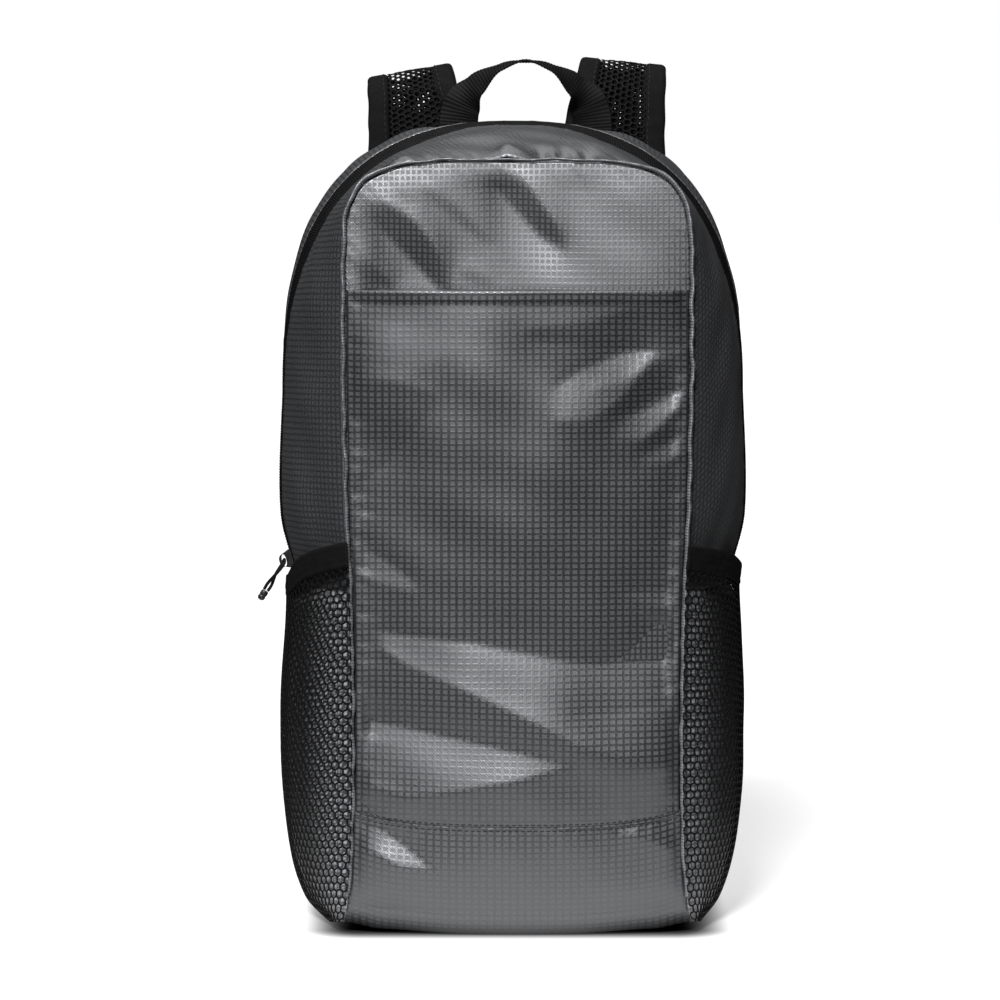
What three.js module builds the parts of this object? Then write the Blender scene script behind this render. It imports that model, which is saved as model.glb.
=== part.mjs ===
// A lightweight day pack that stands on its base, built from its sewn panels, pockets, straps and zip.
// Millimetres. +Z is up, the front faces -Y, and the origin is the middle of the base, on the floor.
import * as THREE from 'three';

// Driving sizes
const CLOTH = 1.2; // wall of a cloth panel
const NET = 1.0; // wall of the netting of a side pocket
const GAP = 0.3; // clearance between pieces that touch
const SEAM = 1.8; // how far a panel stops short of its seam line, so that two walls meet without crossing
const BASE_SEAM_Z = 61; // seam between the front pocket and the base panel, at its middle
const BASE_SEAM_LIFT = 6; // how much higher that seam ends at the flanks
const BASE_ROUND = 14; // radius of the base panel's front and back edges
const POCKET_MOUTH_Z = 348; // top of the front pocket's hem
const HEM_DEPTH = 10; // height of the front pocket's folded hem
const POCKET_LIFT = 2.1; // how far the front pocket's outer face stands off the panel's, along its seams
const POCKET_SLACK = 7.5; // how far the front pocket stands off the panel behind it, at its middle
const ZIP_END_Z = 186; // where the zip stops, at both flanks
const ZIP_SHARE = 0.04; // half the zip's width, as a share of the way from the front seam to the back seam
const BINDING_HEIGHT = 14; // elastic binding along the mouth of a side pocket
const BINDING_THICKNESS = 2;
const ROLL_RADIUS = 1.3; // rolled seam edge between the front and the flanks
const ROLL_FOOT_Z = 20;
const STRAP_THICKNESS = 6;
const WEBBING = { width: 22, thickness: 1.6 };
const HANDLE_THICKNESS = 1.6;
const CORD_DIAMETER = 1.8;

// The three seam lines that run up one flank, over the top and down the other.
// Each has straight flanks up to its shoulder and a top that is part of a superellipse.
// The zip and back lines sit a little to the left, because the left flank is fuller.
const SEAM_LINES = {
  front: { shoulder: 350, crest: 417, squareness: 4.5, shift: 0 },
  zip: { shoulder: 292, crest: 438, squareness: 2.45, shift: -2.4 },
  back: { shoulder: 300, crest: 433, squareness: 4.2, shift: -2 },
};
const FLANK_SHARE = 0.3; // share of a seam line's parameter that each flank takes

// Front view: half the width between the two flanks of each seam line, at each height.
const FLANKS = [
  { z: 0, front: 95, zip: 99, back: 91 },
  { z: 14, front: 92, zip: 111, back: 97 },
  { z: 45, front: 89, zip: 117, back: 104 },
  { z: 110, front: 88, zip: 118, back: 107 },
  { z: 184, front: 89, zip: 118.5, back: 109 },
  { z: 225, front: 91, zip: 127.5, back: 111 },
  { z: 300, front: 93, zip: 126, back: 112 },
];

// Side view: how far forward or back each seam line lies, at each height,
// and how far the middle of the front bulges past the front seam.
const DEPTHS = [
  { z: 0, front: -49, zip: 1, back: 48, bulge: 9 },
  { z: 14, front: -61, zip: 1, back: 61, bulge: 12 },
  { z: 60, front: -64, zip: 0, back: 62, bulge: 14 },
  { z: 150, front: -66, zip: -2, back: 62, bulge: 15 },
  { z: 300, front: -61, zip: 0, back: 62, bulge: 14 },
  { z: 400, front: -50, zip: 6, back: 62, bulge: 11 },
  { z: 443, front: -42, zip: 10, back: 62, bulge: 6 },
];

// Side pockets: height of each mouth from the front seam, w = 0, to the back seam, w = 1.
const POCKET_MOUTH = [
  { w: 0, left: 213, right: 211 },
  { w: 0.25, left: 204, right: 206 },
  { w: 0.5, left: 191, right: 198 },
  { w: 1, left: 187, right: 192 },
];
const NET_OFF = { seam: 1.6, roll: 3.6, belly: 8 }; // how far the netting lies off the flank
const POCKET_FOOT_Z = 3;

// Main folds of the front pocket and of the yoke above it, seen from the front: the middle of each fold,
// its length, its slope in degrees (left to right, up is positive), its half width,
// and how far it stands out or, below zero, is pressed in.
const POCKET_FOLDS = [
  { x: 27, z: 121, run: 130, lean: -10, half: 22, rise: 3.5 },
  { x: -34, z: 80, run: 115, lean: 3, half: 15, rise: 2.6 },
  { x: -18, z: 104, run: 120, lean: -12, half: 11, rise: -2.2 },
  { x: 66, z: 274, run: 52, lean: 25, half: 9, rise: 2.4 },
  { x: 74, z: 254, run: 34, lean: 25, half: 7, rise: 2 },
  { x: -69, z: 192, run: 52, lean: -35, half: 11, rise: 2.2 },
  { x: -66, z: 250, run: 86, lean: 80, half: 24, rise: -2.6 },
  { x: 68, z: 213, run: 76, lean: 80, half: 24, rise: -2.6 },
];
const YOKE_FOLDS = [
  { x: -61, z: 374, run: 70, lean: -50, half: 9, rise: -2.6 },
  { x: 6, z: 379, run: 52, lean: -50, half: 13, rise: -2.2 },
  { x: 52, z: 384, run: 60, lean: 15, half: 16, rise: 2 },
];
const BACK_Y = 62; // outer face of the flat back panel

// Shoulder straps: the two sides, how much higher each stands at its crest, and the crest's slope in degrees.
const STRAPS = [
  { name: 'left', side: -1, lift: 0, slope: 10 },
  { name: 'right', side: 1, lift: 5, slope: 6 },
];

// Centre of a strap, for the right side, from its root on the back panel up and over to its lower end.
// crest is the share of the side's lift and slope at that row.
const STRAP_ROUTE = [
  { x: 54, y: 67.4, z: 396, width: 60, crest: 0 },
  { x: 54, y: 67.4, z: 420, width: 60, crest: 0 },
  { x: 56, y: 69, z: 440, width: 56, crest: 0.2 },
  { x: 59, y: 74, z: 458, width: 51, crest: 0.6 },
  { x: 60.5, y: 85, z: 467, width: 49, crest: 1 },
  { x: 60.5, y: 96, z: 461, width: 48, crest: 0.8 },
  { x: 60.5, y: 104, z: 444, width: 48, crest: 0.4 },
  { x: 61, y: 114, z: 402, width: 50, crest: 0 },
  { x: 68, y: 123, z: 335, width: 54, crest: 0 },
  { x: 74, y: 124, z: 262, width: 52, crest: 0 },
  { x: 76, y: 115, z: 205, width: 45, crest: 0 },
  { x: 76.3, y: 110.1, z: 190, width: 40, crest: 0 },
  { x: 76.5, y: 105.5, z: 176, width: 34, crest: 0 },
];

// Grab handle, left half: its centre line from its sewn end to its crest. It is sewn on flat, and twists
// to lie on its flat side at the crest.
const HANDLE_SHIFT = 5; // the handle is sewn on a little to the right of the middle
const HANDLE_ROUTE = [
  { x: -38, y: 63.2, z: 422, width: 22, twist: 90 },
  { x: -38, y: 63.2, z: 437, width: 22, twist: 90 },
  { x: -34, y: 62, z: 450, width: 22, twist: 86 },
  { x: -24, y: 60, z: 461.5, width: 22, twist: 48 },
  { x: -12, y: 58.5, z: 470.5, width: 22, twist: 13 },
  { x: 0, y: 58, z: 474, width: 22, twist: 0 },
];

// Ladder lock at the lower end of each strap: a flat frame with three bars, in its own frame.
const LOCK = { x: 76.5, y: 99.3, z: 157, lean: 18, width: 30, slot: 24, thickness: 4.4 };
const LOCK_BARS = { top: [7, 13.5], middle: [-2, 1], bottom: [-14, -9] };
const LOCK_TURNS = { tabRadius: 4.2, tabZ: 8.8, webbingRadius: 3.4, webbingZ: -8.8 };
const TAB_TOP_Z = 31; // how far the strap's end tab reaches up both faces of the strap

// Lower webbing, for the right side: from the tab at the pack's corner up to the ladder lock, and its tail.
const WEBBING_FOOT = [
  { x: 93, y: 65.1, z: 52 },
  { x: 91, y: 65.4, z: 62 },
  { x: 87, y: 70, z: 82 },
  { x: 81, y: 81, z: 112 },
];
const WEBBING_TAIL = [
  { x: 76.5, y: 96, z: 120 },
  { x: 76.5, y: 92, z: 86 },
];
const ANCHOR = { inner: 74, outer: 103, low: 34, high: 80, thickness: 1.6 };

// Zip slider on the left flank, and the cord pull that hangs from its bridge.
const SLIDER = { z: 199, length: 11, width: 5, body: 2.6, bridgeRise: 4.4, bridgeHole: 3 };
const PULL_RISE = 0.6; // how far above the middle of the eye the pull passes through it
const PULL_TURN_OUT = 1.7; // how far the pull's turn through the bridge swings out from the flank
// One strand of the pull, below its turn through the bridge: down and out from the bridge's middle,
// back towards the wearer, and apart from the other strand.
const PULL_STRAND = [
  { down: 8, out: 4.6, back: 3.4, apart: 0.3 },
  { down: 11.3, out: 6.6, back: 2, apart: 0.9 },
  { down: 14.2, out: 8.4, back: 0.6, apart: 1.3 },
  { down: 17, out: 10.2, back: 0, apart: 1.1 },
];
const PULL_TIP = { radius: 2.1, length: 6 };

const MATERIALS = {
  cloth: new THREE.MeshStandardMaterial({ color: 0x55565a, roughness: 0.42, metalness: 0 }),
  zip: new THREE.MeshStandardMaterial({ color: 0x101011, roughness: 0.7, metalness: 0 }),
  net: new THREE.MeshStandardMaterial({ color: 0x0d0d0e, roughness: 0.6, metalness: 0 }),
  webbing: new THREE.MeshStandardMaterial({ color: 0x0b0b0c, roughness: 0.75, metalness: 0 }),
  strap: new THREE.MeshStandardMaterial({ color: 0x0a0a0b, roughness: 0.85, metalness: 0 }),
  plastic: new THREE.MeshStandardMaterial({ color: 0x121213, roughness: 0.35, metalness: 0 }),
  metal: new THREE.MeshStandardMaterial({ color: 0x1a1a1b, roughness: 0.4, metalness: 0.8 }),
};

const { lerp, clamp, degToRad, smoothstep } = THREE.MathUtils;

// Reads one column of a table at a key's value, on a smooth curve through the rows.
function readTable(table, key, column, value) {
  const last = table.length - 1;
  let row = 0;
  while (row < last - 1 && value > table[row + 1][key]) row += 1;
  const span = table[row + 1][key] - table[row][key];
  const t = clamp((value - table[row][key]) / span, 0, 1);
  const slope = (at) => {
    const before = table[Math.max(at - 1, 0)];
    const after = table[Math.min(at + 1, last)];
    return ((after[column] - before[column]) / (after[key] - before[key])) * span;
  };
  const [from, to] = [table[row][column], table[row + 1][column]];
  const bend = (t * t * (3 - 2 * t)) * (to - from);
  return from + bend + t * (1 - t) * (1 - t) * slope(row) - t * t * (1 - t) * slope(row + 1);
}

const flankAt = (line, z) => readTable(FLANKS, 'z', line, z);
const depthAt = (line, z) => readTable(DEPTHS, 'z', line, z);

// A point on a seam line. t runs from the left foot, 0, over the top to the right foot, 1.
function seamPoint(line, t, footZ) {
  const { shoulder, crest, squareness, shift } = SEAM_LINES[line];
  const climb = Math.min(t, 1 - t) / FLANK_SHARE;
  let x;
  let z;
  if (climb < 1) {
    z = lerp(footZ, shoulder, climb);
    x = Math.sign(t - 0.5) * flankAt(line, z);
  } else {
    const turn = (Math.PI * (t - FLANK_SHARE)) / (1 - 2 * FLANK_SHARE);
    const power = 2 / squareness;
    x = -Math.sign(Math.cos(turn)) * Math.abs(Math.cos(turn)) ** power * flankAt(line, shoulder);
    z = shoulder + (crest - shoulder) * Math.sin(turn) ** power;
  }
  return new THREE.Vector3(x + shift, depthAt(line, z), z);
}

// A parabola through three points: w is 0 at the first, 0.5 at the second and 1 at the third.
function throughThree(first, second, third, w) {
  return new THREE.Vector3()
    .addScaledVector(first, (1 - w) * (1 - 2 * w))
    .addScaledVector(second, 4 * w * (1 - w))
    .addScaledVector(third, w * (2 * w - 1));
}

// A point on the crowned gusset that joins the front seam, w = 0, to the back seam, w = 1.
function gussetPoint(t, w, footZ) {
  const [front, zip, back] = ['front', 'zip', 'back'].map((line) => seamPoint(line, t, footZ));
  return throughThree(front, zip, back, w);
}

// The same gusset on one flank, by height. side is -1 for the left and 1 for the right.
function flankPoint(side, w, z) {
  const [front, zip, back] = ['front', 'zip', 'back'].map(
    (line) => new THREE.Vector3(side * flankAt(line, z) + SEAM_LINES[line].shift, depthAt(line, z), z),
  );
  return throughThree(front, zip, back, w);
}

// Maps a square, u from -1 to 1 and v from 0 to 1, onto the outline of a seam line above footZ.
function archPoint(line, u, v, footZ) {
  const { shoulder, crest, squareness } = SEAM_LINES[line];
  const straight = (shoulder - footZ) / (crest - footZ);
  if (v <= straight) {
    const z = lerp(footZ, shoulder, v / straight);
    return { x: u * flankAt(line, z), z, rise: 0 };
  }
  const rise = (v - straight) / (1 - straight);
  const norm = (Math.abs(u) ** squareness + rise ** squareness) ** (1 / squareness);
  const pull = Math.max(Math.abs(u), rise) / norm;
  return {
    x: u * pull * flankAt(line, shoulder),
    z: shoulder + (crest - shoulder) * rise * pull,
    rise,
  };
}

// Sum of the folds of a table at one place of the front
function foldsAt(table, x, z) {
  return table.reduce((sum, fold) => {
    const [right, up] = [Math.cos(degToRad(fold.lean)), Math.sin(degToRad(fold.lean))];
    const along = ((x - fold.x) * right + (z - fold.z) * up) / (fold.run / 2);
    const off = ((z - fold.z) * right - (x - fold.x) * up) / fold.half;
    return sum + fold.rise * Math.exp(-(off ** 2) - along ** 4);
  }, 0);
}

// Fades folds out towards the two flank seams
const seamFade = (u) => smoothstep(1 - Math.abs(u), 0, 0.16);

// The front panel's outer face, which crowns outwards between its seams.
function frontPoint(u, v, footZ) {
  const { x, z, rise } = archPoint('front', u, v, footZ);
  const crown = (1 - u * u) * (1 - rise ** 3);
  const yoke = seamFade(u) * smoothstep(z, POCKET_MOUTH_Z - 4, POCKET_MOUTH_Z + 14) * (1 - rise ** 3);
  const folds = foldsAt(YOKE_FOLDS, x, z) * yoke;
  return new THREE.Vector3(x, depthAt('front', z) - depthAt('bulge', z) * crown - folds, z);
}

// A closed wall: an outer face given by surface(u, v), with u and v from 0 to 1, and an inner face
// a thickness behind it. The cross product of the u and v directions points outward.
function wall(surface, { columns, rows, thickness, lift = 0 }) {
  const step = 1e-3;
  const points = [[], []];
  for (let row = 0; row <= rows; row += 1) {
    for (let column = 0; column <= columns; column += 1) {
      const [u, v] = [column / columns, row / rows];
      const [u0, u1] = [Math.max(u - step, 0), Math.min(u + step, 1)];
      const [v0, v1] = [Math.max(v - step, 0), Math.min(v + step, 1)];
      const alongU = surface(u1, v).sub(surface(u0, v));
      const alongV = surface(u, v1).sub(surface(u, v0));
      const normal = alongU.cross(alongV).normalize();
      const deep = typeof thickness === 'function' ? thickness(u, v) : thickness;
      points[0].push(surface(u, v).addScaledVector(normal, lift));
      points[1].push(surface(u, v).addScaledVector(normal, lift - deep));
    }
  }
  const wide = columns + 1;
  const layer = wide * (rows + 1);
  const index = [];
  const quad = (a, b, c, d) => index.push(a, b, c, a, c, d);
  for (let row = 0; row < rows; row += 1) {
    for (let column = 0; column < columns; column += 1) {
      const a = row * wide + column;
      quad(a, a + 1, a + wide + 1, a + wide);
      quad(layer + a, layer + a + wide, layer + a + wide + 1, layer + a + 1);
    }
  }
  const top = rows * wide;
  for (let column = 0; column < columns; column += 1) {
    quad(column, layer + column, layer + column + 1, column + 1);
    quad(top + column, top + column + 1, layer + top + column + 1, layer + top + column);
  }
  for (let row = 0; row < rows; row += 1) {
    const a = row * wide;
    quad(a, a + wide, layer + a + wide, layer + a);
    quad(a + columns, layer + a + columns, layer + a + wide + columns, a + wide + columns);
  }
  const geometry = new THREE.BufferGeometry().setFromPoints([...points[0], ...points[1]]);
  geometry.setIndex(index);
  geometry.computeVertexNormals();
  return geometry;
}

// A flat strip of cloth along a route. Its width lies along the reference direction, turned by
// each row's twist.
function ribbon(route, { across, steps, thickness, columns = 1 }) {
  const curve = new THREE.CatmullRomCurve3(route.map(({ x, y, z }) => new THREE.Vector3(x, y, z)));
  const share = (key, u) => {
    const at = clamp(u, 0, 1) * (route.length - 1);
    const row = Math.min(Math.floor(at), route.length - 2);
    return lerp(route[row][key], route[row + 1][key], smoothstep(at - row, 0, 1));
  };
  const surface = (u, v) => {
    const tangent = curve.getTangent(u);
    const side = across.clone().addScaledVector(tangent, -across.dot(tangent)).normalize();
    side.applyAxisAngle(tangent, degToRad(share('twist', u)));
    return curve.getPoint(u).addScaledVector(side, (v - 0.5) * share('width', u));
  };
  return wall(surface, { columns: steps, rows: columns, thickness, lift: thickness / 2 });
}

// A round cord along a route of points, closed at both ends.
function cord(route, radius, sides, steps) {
  const ring = new THREE.Shape();
  for (let i = 0; i <= sides; i += 1) {
    const turn = (2 * Math.PI * i) / sides;
    const place = [radius * Math.cos(turn), radius * Math.sin(turn)];
    if (i === 0) ring.moveTo(...place);
    else ring.lineTo(...place);
  }
  const extrudePath = new THREE.CatmullRomCurve3(route);
  return new THREE.ExtrudeGeometry(ring, { steps, extrudePath, bevelEnabled: false });
}

const pack = new THREE.Group();
function addPiece(name, geometry, material, parent = pack) {
  const piece = new THREE.Mesh(geometry, material);
  piece.name = name;
  parent.add(piece);
  return piece;
}

// Front panel: the wall behind the front pocket, and the yoke that shows above it
function addFrontPanel() {
  const inset = 1 - GAP / SEAM_LINES.front.crest;
  const surface = (u, v) => frontPoint((2 * u - 1) * inset, v * inset, baseSeamZ(2 * u - 1) + GAP);
  addPiece('front_panel', wall(surface, { columns: 12, rows: 18, thickness: CLOTH }), MATERIALS.cloth);
}

// Front pocket: a slip pocket over the front panel, open at the top, with a folded hem
const baseSeamZ = (u) => BASE_SEAM_Z + BASE_SEAM_LIFT * u ** 4;

function pocketPoint(u, z) {
  const x = u * (flankAt('front', z) - 1.1);
  const climb = (z - baseSeamZ(u)) / (POCKET_MOUTH_Z - baseSeamZ(u));
  const slack = POCKET_SLACK * (1 - u * u) * Math.min(1, climb * 4) * lerp(1, 1.25, climb);
  const folds = Math.max(foldsAt(POCKET_FOLDS, x, z) * seamFade(u) * Math.min(1, climb * 6), -0.55 * slack);
  const crown = depthAt('bulge', z) * (1 - u * u);
  return new THREE.Vector3(x, depthAt('front', z) - crown - slack - folds - POCKET_LIFT, z);
}

function addFrontPocket() {
  const hem = HEM_DEPTH / (POCKET_MOUTH_Z - BASE_SEAM_Z);
  const surface = (u, v) => pocketPoint(2 * u - 1, lerp(baseSeamZ(2 * u - 1) + GAP, POCKET_MOUTH_Z, v));
  const thickness = (u, v) => (v > 1 - hem ? CLOTH * 1.3 : CLOTH);
  addPiece('front_pocket', wall(surface, { columns: 18, rows: 24, thickness }), MATERIALS.cloth);
}

// Base panel: one piece of cloth that runs down the front, under the pack and up to the back panel
function basePoint(u, v) {
  const across = 1 - 2 * u;
  const crown = 1 - across * across;
  const frontY = depthAt('front', BASE_ROUND) - depthAt('bulge', BASE_ROUND) * crown;
  const backY = depthAt('back', BASE_ROUND);
  const quarter = (share) => (share * Math.PI) / 2;
  if (v < 0.4) {
    const z = lerp(baseSeamZ(across) - GAP, BASE_ROUND, v / 0.4);
    const y = depthAt('front', z) - depthAt('bulge', z) * crown;
    return new THREE.Vector3(across * (flankAt('front', z) - GAP), y, z);
  }
  if (v < 0.6) {
    const turn = quarter((v - 0.4) / 0.2);
    const z = BASE_ROUND * (1 - Math.sin(turn));
    const x = across * (flankAt('front', z) - GAP);
    return new THREE.Vector3(x, frontY + BASE_ROUND * (1 - Math.cos(turn)), z);
  }
  const half = (along) => throughThree(
    new THREE.Vector3(flankAt('front', 0)),
    new THREE.Vector3(flankAt('zip', 0)),
    new THREE.Vector3(flankAt('back', 0)),
    along,
  ).x - GAP;
  if (v < 0.85) {
    const along = (v - 0.6) / 0.25;
    const y = lerp(frontY + BASE_ROUND, backY - BASE_ROUND, along);
    return new THREE.Vector3(across * half(along), y, 0);
  }
  const turn = quarter((v - 0.85) / 0.15);
  const z = BASE_ROUND * (1 - Math.cos(turn));
  const x = across * (flankAt('back', z) - GAP);
  return new THREE.Vector3(x, backY - BASE_ROUND * (1 - Math.sin(turn)), z);
}

function addBasePanel() {
  addPiece('base_panel', wall(basePoint, { columns: 8, rows: 20, thickness: CLOTH }), MATERIALS.cloth);
}

// Back panel: a flat wall against the wearer's back
function addBackPanel() {
  const footZ = BASE_ROUND + 2 * GAP;
  const surface = (u, v) => {
    const { x, z } = archPoint('back', 1 - 2 * u, v, footZ);
    return new THREE.Vector3(x * (1 - GAP / 112) + SEAM_LINES.back.shift, BACK_Y, z - GAP);
  };
  addPiece('back_panel', wall(surface, { columns: 10, rows: 12, thickness: CLOTH }), MATERIALS.cloth);
}

// Gusset strips and zip: three strips side by side that run up one flank, over the top and down the other
function addGusset() {
  const edge = SEAM / 155; // a gusset is about 155 wide from seam to seam
  const crack = GAP / 155 / 2;
  const [zipFront, zipRear] = [0.5 - ZIP_SHARE, 0.5 + ZIP_SHARE];
  const { cloth, zip } = MATERIALS;
  const strips = [
    { name: 'gusset_front', from: edge, to: zipFront - crack, columns: 3, material: cloth },
    { name: 'zip_tape', from: zipFront + crack, to: zipRear - crack, columns: 1, material: zip },
    { name: 'gusset_rear', from: zipRear + crack, to: 1 - edge * 1.2, columns: 3, material: cloth },
  ];
  strips.forEach(({ name, from, to, columns, material }) => {
    const surface = (u, v) => gussetPoint(v, lerp(from, to, 1 - u), ZIP_END_Z + GAP);
    addPiece(name, wall(surface, { columns, rows: 32, thickness: CLOTH }), material);
  });
}

// Side panels below the zip: each is one piece from the front seam to the back seam
function addSidePanel(side, name) {
  const edge = SEAM / 135;
  const surface = (u, v) => {
    const w = lerp(edge, 1 - edge, side < 0 ? 1 - u : u);
    return flankPoint(side, w, lerp(1.9, ZIP_END_Z, v));
  };
  addPiece(`side_panel_${name}`, wall(surface, { columns: 7, rows: 8, thickness: CLOTH }), MATERIALS.cloth);
}

// Outward direction of the flank at one place
function flankNormal(side, w, z) {
  const step = 0.01;
  const alongW = flankPoint(side, w + step, z).sub(flankPoint(side, w - step, z));
  const alongZ = flankPoint(side, w, z + 1).sub(flankPoint(side, w, z - 1));
  return alongW.cross(alongZ).multiplyScalar(side).normalize();
}

// Side pocket: netting that covers the rolled seam at the front, hangs slack over the side panel
// and is gathered by a binding along its mouth
function netPoint(side, w, climb) {
  const mouthZ = readTable(POCKET_MOUTH, 'w', side < 0 ? 'left' : 'right', w);
  const z = lerp(POCKET_FOOT_Z, mouthZ, climb);
  const belly = NET_OFF.belly * Math.sin(Math.PI * w) ** 0.8 * Math.sin(Math.PI * lerp(0.06, 0.7, climb));
  const seam = lerp(NET_OFF.seam, NET_OFF.roll, smoothstep(1 - w, 0.8, 1));
  return flankPoint(side, w, z).addScaledVector(flankNormal(side, w, z), seam + belly);
}

function addSidePocket(side, name) {
  const [first, last] = [0.012, 0.985];
  const shareOfBinding = BINDING_HEIGHT / POCKET_MOUTH[0].left;
  const strip = (from, to) => (u, v) => {
    const w = lerp(first, last, side < 0 ? 1 - u : u);
    return netPoint(side, w, lerp(from, to, v));
  };
  const netTop = 1 - shareOfBinding - (2 * GAP) / POCKET_MOUTH[0].left;
  const net = wall(strip(0, netTop), { columns: 9, rows: 9, thickness: NET });
  addPiece(`side_pocket_${name}`, net, MATERIALS.net);
  const binding = wall(strip(1 - shareOfBinding, 1), {
    columns: 12,
    rows: 1,
    thickness: BINDING_THICKNESS,
    lift: (BINDING_THICKNESS - NET) / 2,
  });
  addPiece(`pocket_binding_${name}`, binding, MATERIALS.webbing);
}

// Rolled seam edge that frames the front, from foot to foot
function addSeamRoll() {
  const stations = 36;
  const route = [];
  for (let i = 0; i <= stations; i += 1) {
    const t = i / stations;
    const at = seamPoint('front', t, ROLL_FOOT_Z);
    const inward = gussetPoint(t, 0.08, ROLL_FOOT_Z).sub(at).normalize();
    const along = seamPoint('front', Math.min(t + 0.01, 1), ROLL_FOOT_Z)
      .sub(seamPoint('front', Math.max(t - 0.01, 0), ROLL_FOOT_Z))
      .normalize();
    const outOfGusset = along.clone().cross(inward).normalize();
    const forward = new THREE.Vector3(0, -1, 0);
    const away = outOfGusset.add(forward).normalize();
    route.push(at.addScaledVector(away, ROLL_RADIUS + 3 * GAP));
  }
  addPiece('front_seam_roll', cord(route, ROLL_RADIUS, 6, stations), MATERIALS.cloth);
}

// Shoulder straps, the tabs that hold their ladder locks, and the lower webbing
function lockToPack(side, y, z, x = 0) {
  const lean = degToRad(LOCK.lean);
  return {
    x: side * LOCK.x + x,
    y: LOCK.y + y * Math.cos(lean) + z * Math.sin(lean),
    z: LOCK.z - y * Math.sin(lean) + z * Math.cos(lean),
  };
}

// A half turn round a bar of the lock: from the pack's side, y < 0, to the far side.
// sense is 1 to pass over the bar and -1 to pass under it.
function turnRound(side, radius, z, sense) {
  const stops = 6;
  return Array.from({ length: stops + 1 }, (_, i) => {
    const turn = (Math.PI * i) / stops;
    return lockToPack(side, -radius * Math.cos(turn), z + sense * radius * Math.sin(turn));
  });
}

function addStrap({ side, name, lift, slope }) {
  const across = new THREE.Vector3(1, 0, 0);
  const route = STRAP_ROUTE.map(({ x, y, z, width, crest }) => (
    { x: side * x, y, z: z + lift * crest, width, twist: side * slope * crest }
  ));
  const strap = ribbon(route, { across, steps: 30, thickness: STRAP_THICKNESS, columns: 2 });
  addPiece(`shoulder_strap_${name}`, strap, MATERIALS.strap);

  const band = (rows) => rows.map((row) => ({ twist: 0, width: WEBBING.width, ...row }));
  const { tabRadius, tabZ, webbingRadius, webbingZ } = LOCK_TURNS;
  const tab = [
    lockToPack(side, -tabRadius, TAB_TOP_Z),
    lockToPack(side, -tabRadius, (TAB_TOP_Z + tabZ) / 2),
    ...turnRound(side, tabRadius, tabZ, -1),
    lockToPack(side, tabRadius, (TAB_TOP_Z + tabZ) / 2),
    lockToPack(side, tabRadius, TAB_TOP_Z),
  ];
  const { thickness } = WEBBING;
  addPiece(`strap_tab_${name}`, ribbon(band(tab), { across, steps: 24, thickness }), MATERIALS.webbing);

  const mirror = (row) => ({ ...row, x: row.x * side });
  const lower = [
    ...WEBBING_FOOT.map(mirror),
    lockToPack(side, -webbingRadius, webbingZ - 12),
    ...turnRound(side, webbingRadius, webbingZ, 1),
    lockToPack(side, webbingRadius, webbingZ - 12),
    ...WEBBING_TAIL.map(mirror),
  ];
  addPiece(`strap_webbing_${name}`, ribbon(band(lower), { across, steps: 36, thickness }), MATERIALS.webbing);
}

// Ladder lock: a flat frame with a slot on each side of its middle bar
function addLadderLock(side, name) {
  const [low, high] = [LOCK_BARS.bottom[0], LOCK_BARS.top[1]];
  const frame = new THREE.Shape();
  const [half, round] = [LOCK.width / 2, 3];
  frame.moveTo(-half + round, low);
  frame.lineTo(half - round, low);
  frame.absarc(half - round, low + round, round, -Math.PI / 2, 0);
  frame.lineTo(half, high - round);
  frame.absarc(half - round, high - round, round, 0, Math.PI / 2);
  frame.lineTo(-half + round, high);
  frame.absarc(-half + round, high - round, round, Math.PI / 2, Math.PI);
  frame.lineTo(-half, low + round);
  frame.absarc(-half + round, low + round, round, Math.PI, 1.5 * Math.PI);
  const slots = [
    [LOCK_BARS.bottom[1], LOCK_BARS.middle[0]],
    [LOCK_BARS.middle[1], LOCK_BARS.top[0]],
  ];
  slots.forEach(([from, to]) => {
    const slot = new THREE.Path();
    slot.moveTo(-LOCK.slot / 2, from);
    slot.lineTo(-LOCK.slot / 2, to);
    slot.lineTo(LOCK.slot / 2, to);
    slot.lineTo(LOCK.slot / 2, from);
    slot.closePath();
    frame.holes.push(slot);
  });
  const extrusion = { depth: LOCK.thickness, bevelEnabled: false, curveSegments: 3 };
  const geometry = new THREE.ExtrudeGeometry(frame, extrusion);
  geometry.translate(0, 0, -LOCK.thickness / 2).rotateX(Math.PI / 2);
  const lock = addPiece(`ladder_lock_${name}`, geometry, MATERIALS.plastic);
  lock.position.set(side * LOCK.x, LOCK.y, LOCK.z);
  lock.rotation.x = -degToRad(LOCK.lean);
}

// Cloth triangle sewn to the back panel's lower corner, which the lower webbing is sewn on
function addAnchor(side, name) {
  const { inner, outer, low, high, thickness } = ANCHOR;
  const outline = new THREE.Shape();
  outline.moveTo(side * outer, low);
  outline.lineTo(side * outer, high - 12);
  outline.lineTo(side * (outer - 4), high);
  outline.lineTo(side * inner, high);
  outline.closePath();
  const geometry = new THREE.ExtrudeGeometry(outline, { depth: thickness, bevelEnabled: false });
  geometry.rotateX(Math.PI / 2).translate(0, BACK_Y + GAP + thickness, 0);
  addPiece(`strap_anchor_${name}`, geometry, MATERIALS.webbing);
}

function addHandle() {
  const across = new THREE.Vector3(0, 1, 0);
  const rightHalf = HANDLE_ROUTE.slice(0, -1).reverse().map((row) => ({ ...row, x: -row.x }));
  const route = [...HANDLE_ROUTE, ...rightHalf].map((row) => ({ ...row, x: row.x + HANDLE_SHIFT }));
  const handle = ribbon(route, { across, steps: 28, thickness: HANDLE_THICKNESS, columns: 2 });
  addPiece('grab_handle', handle, MATERIALS.webbing);
}

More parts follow.
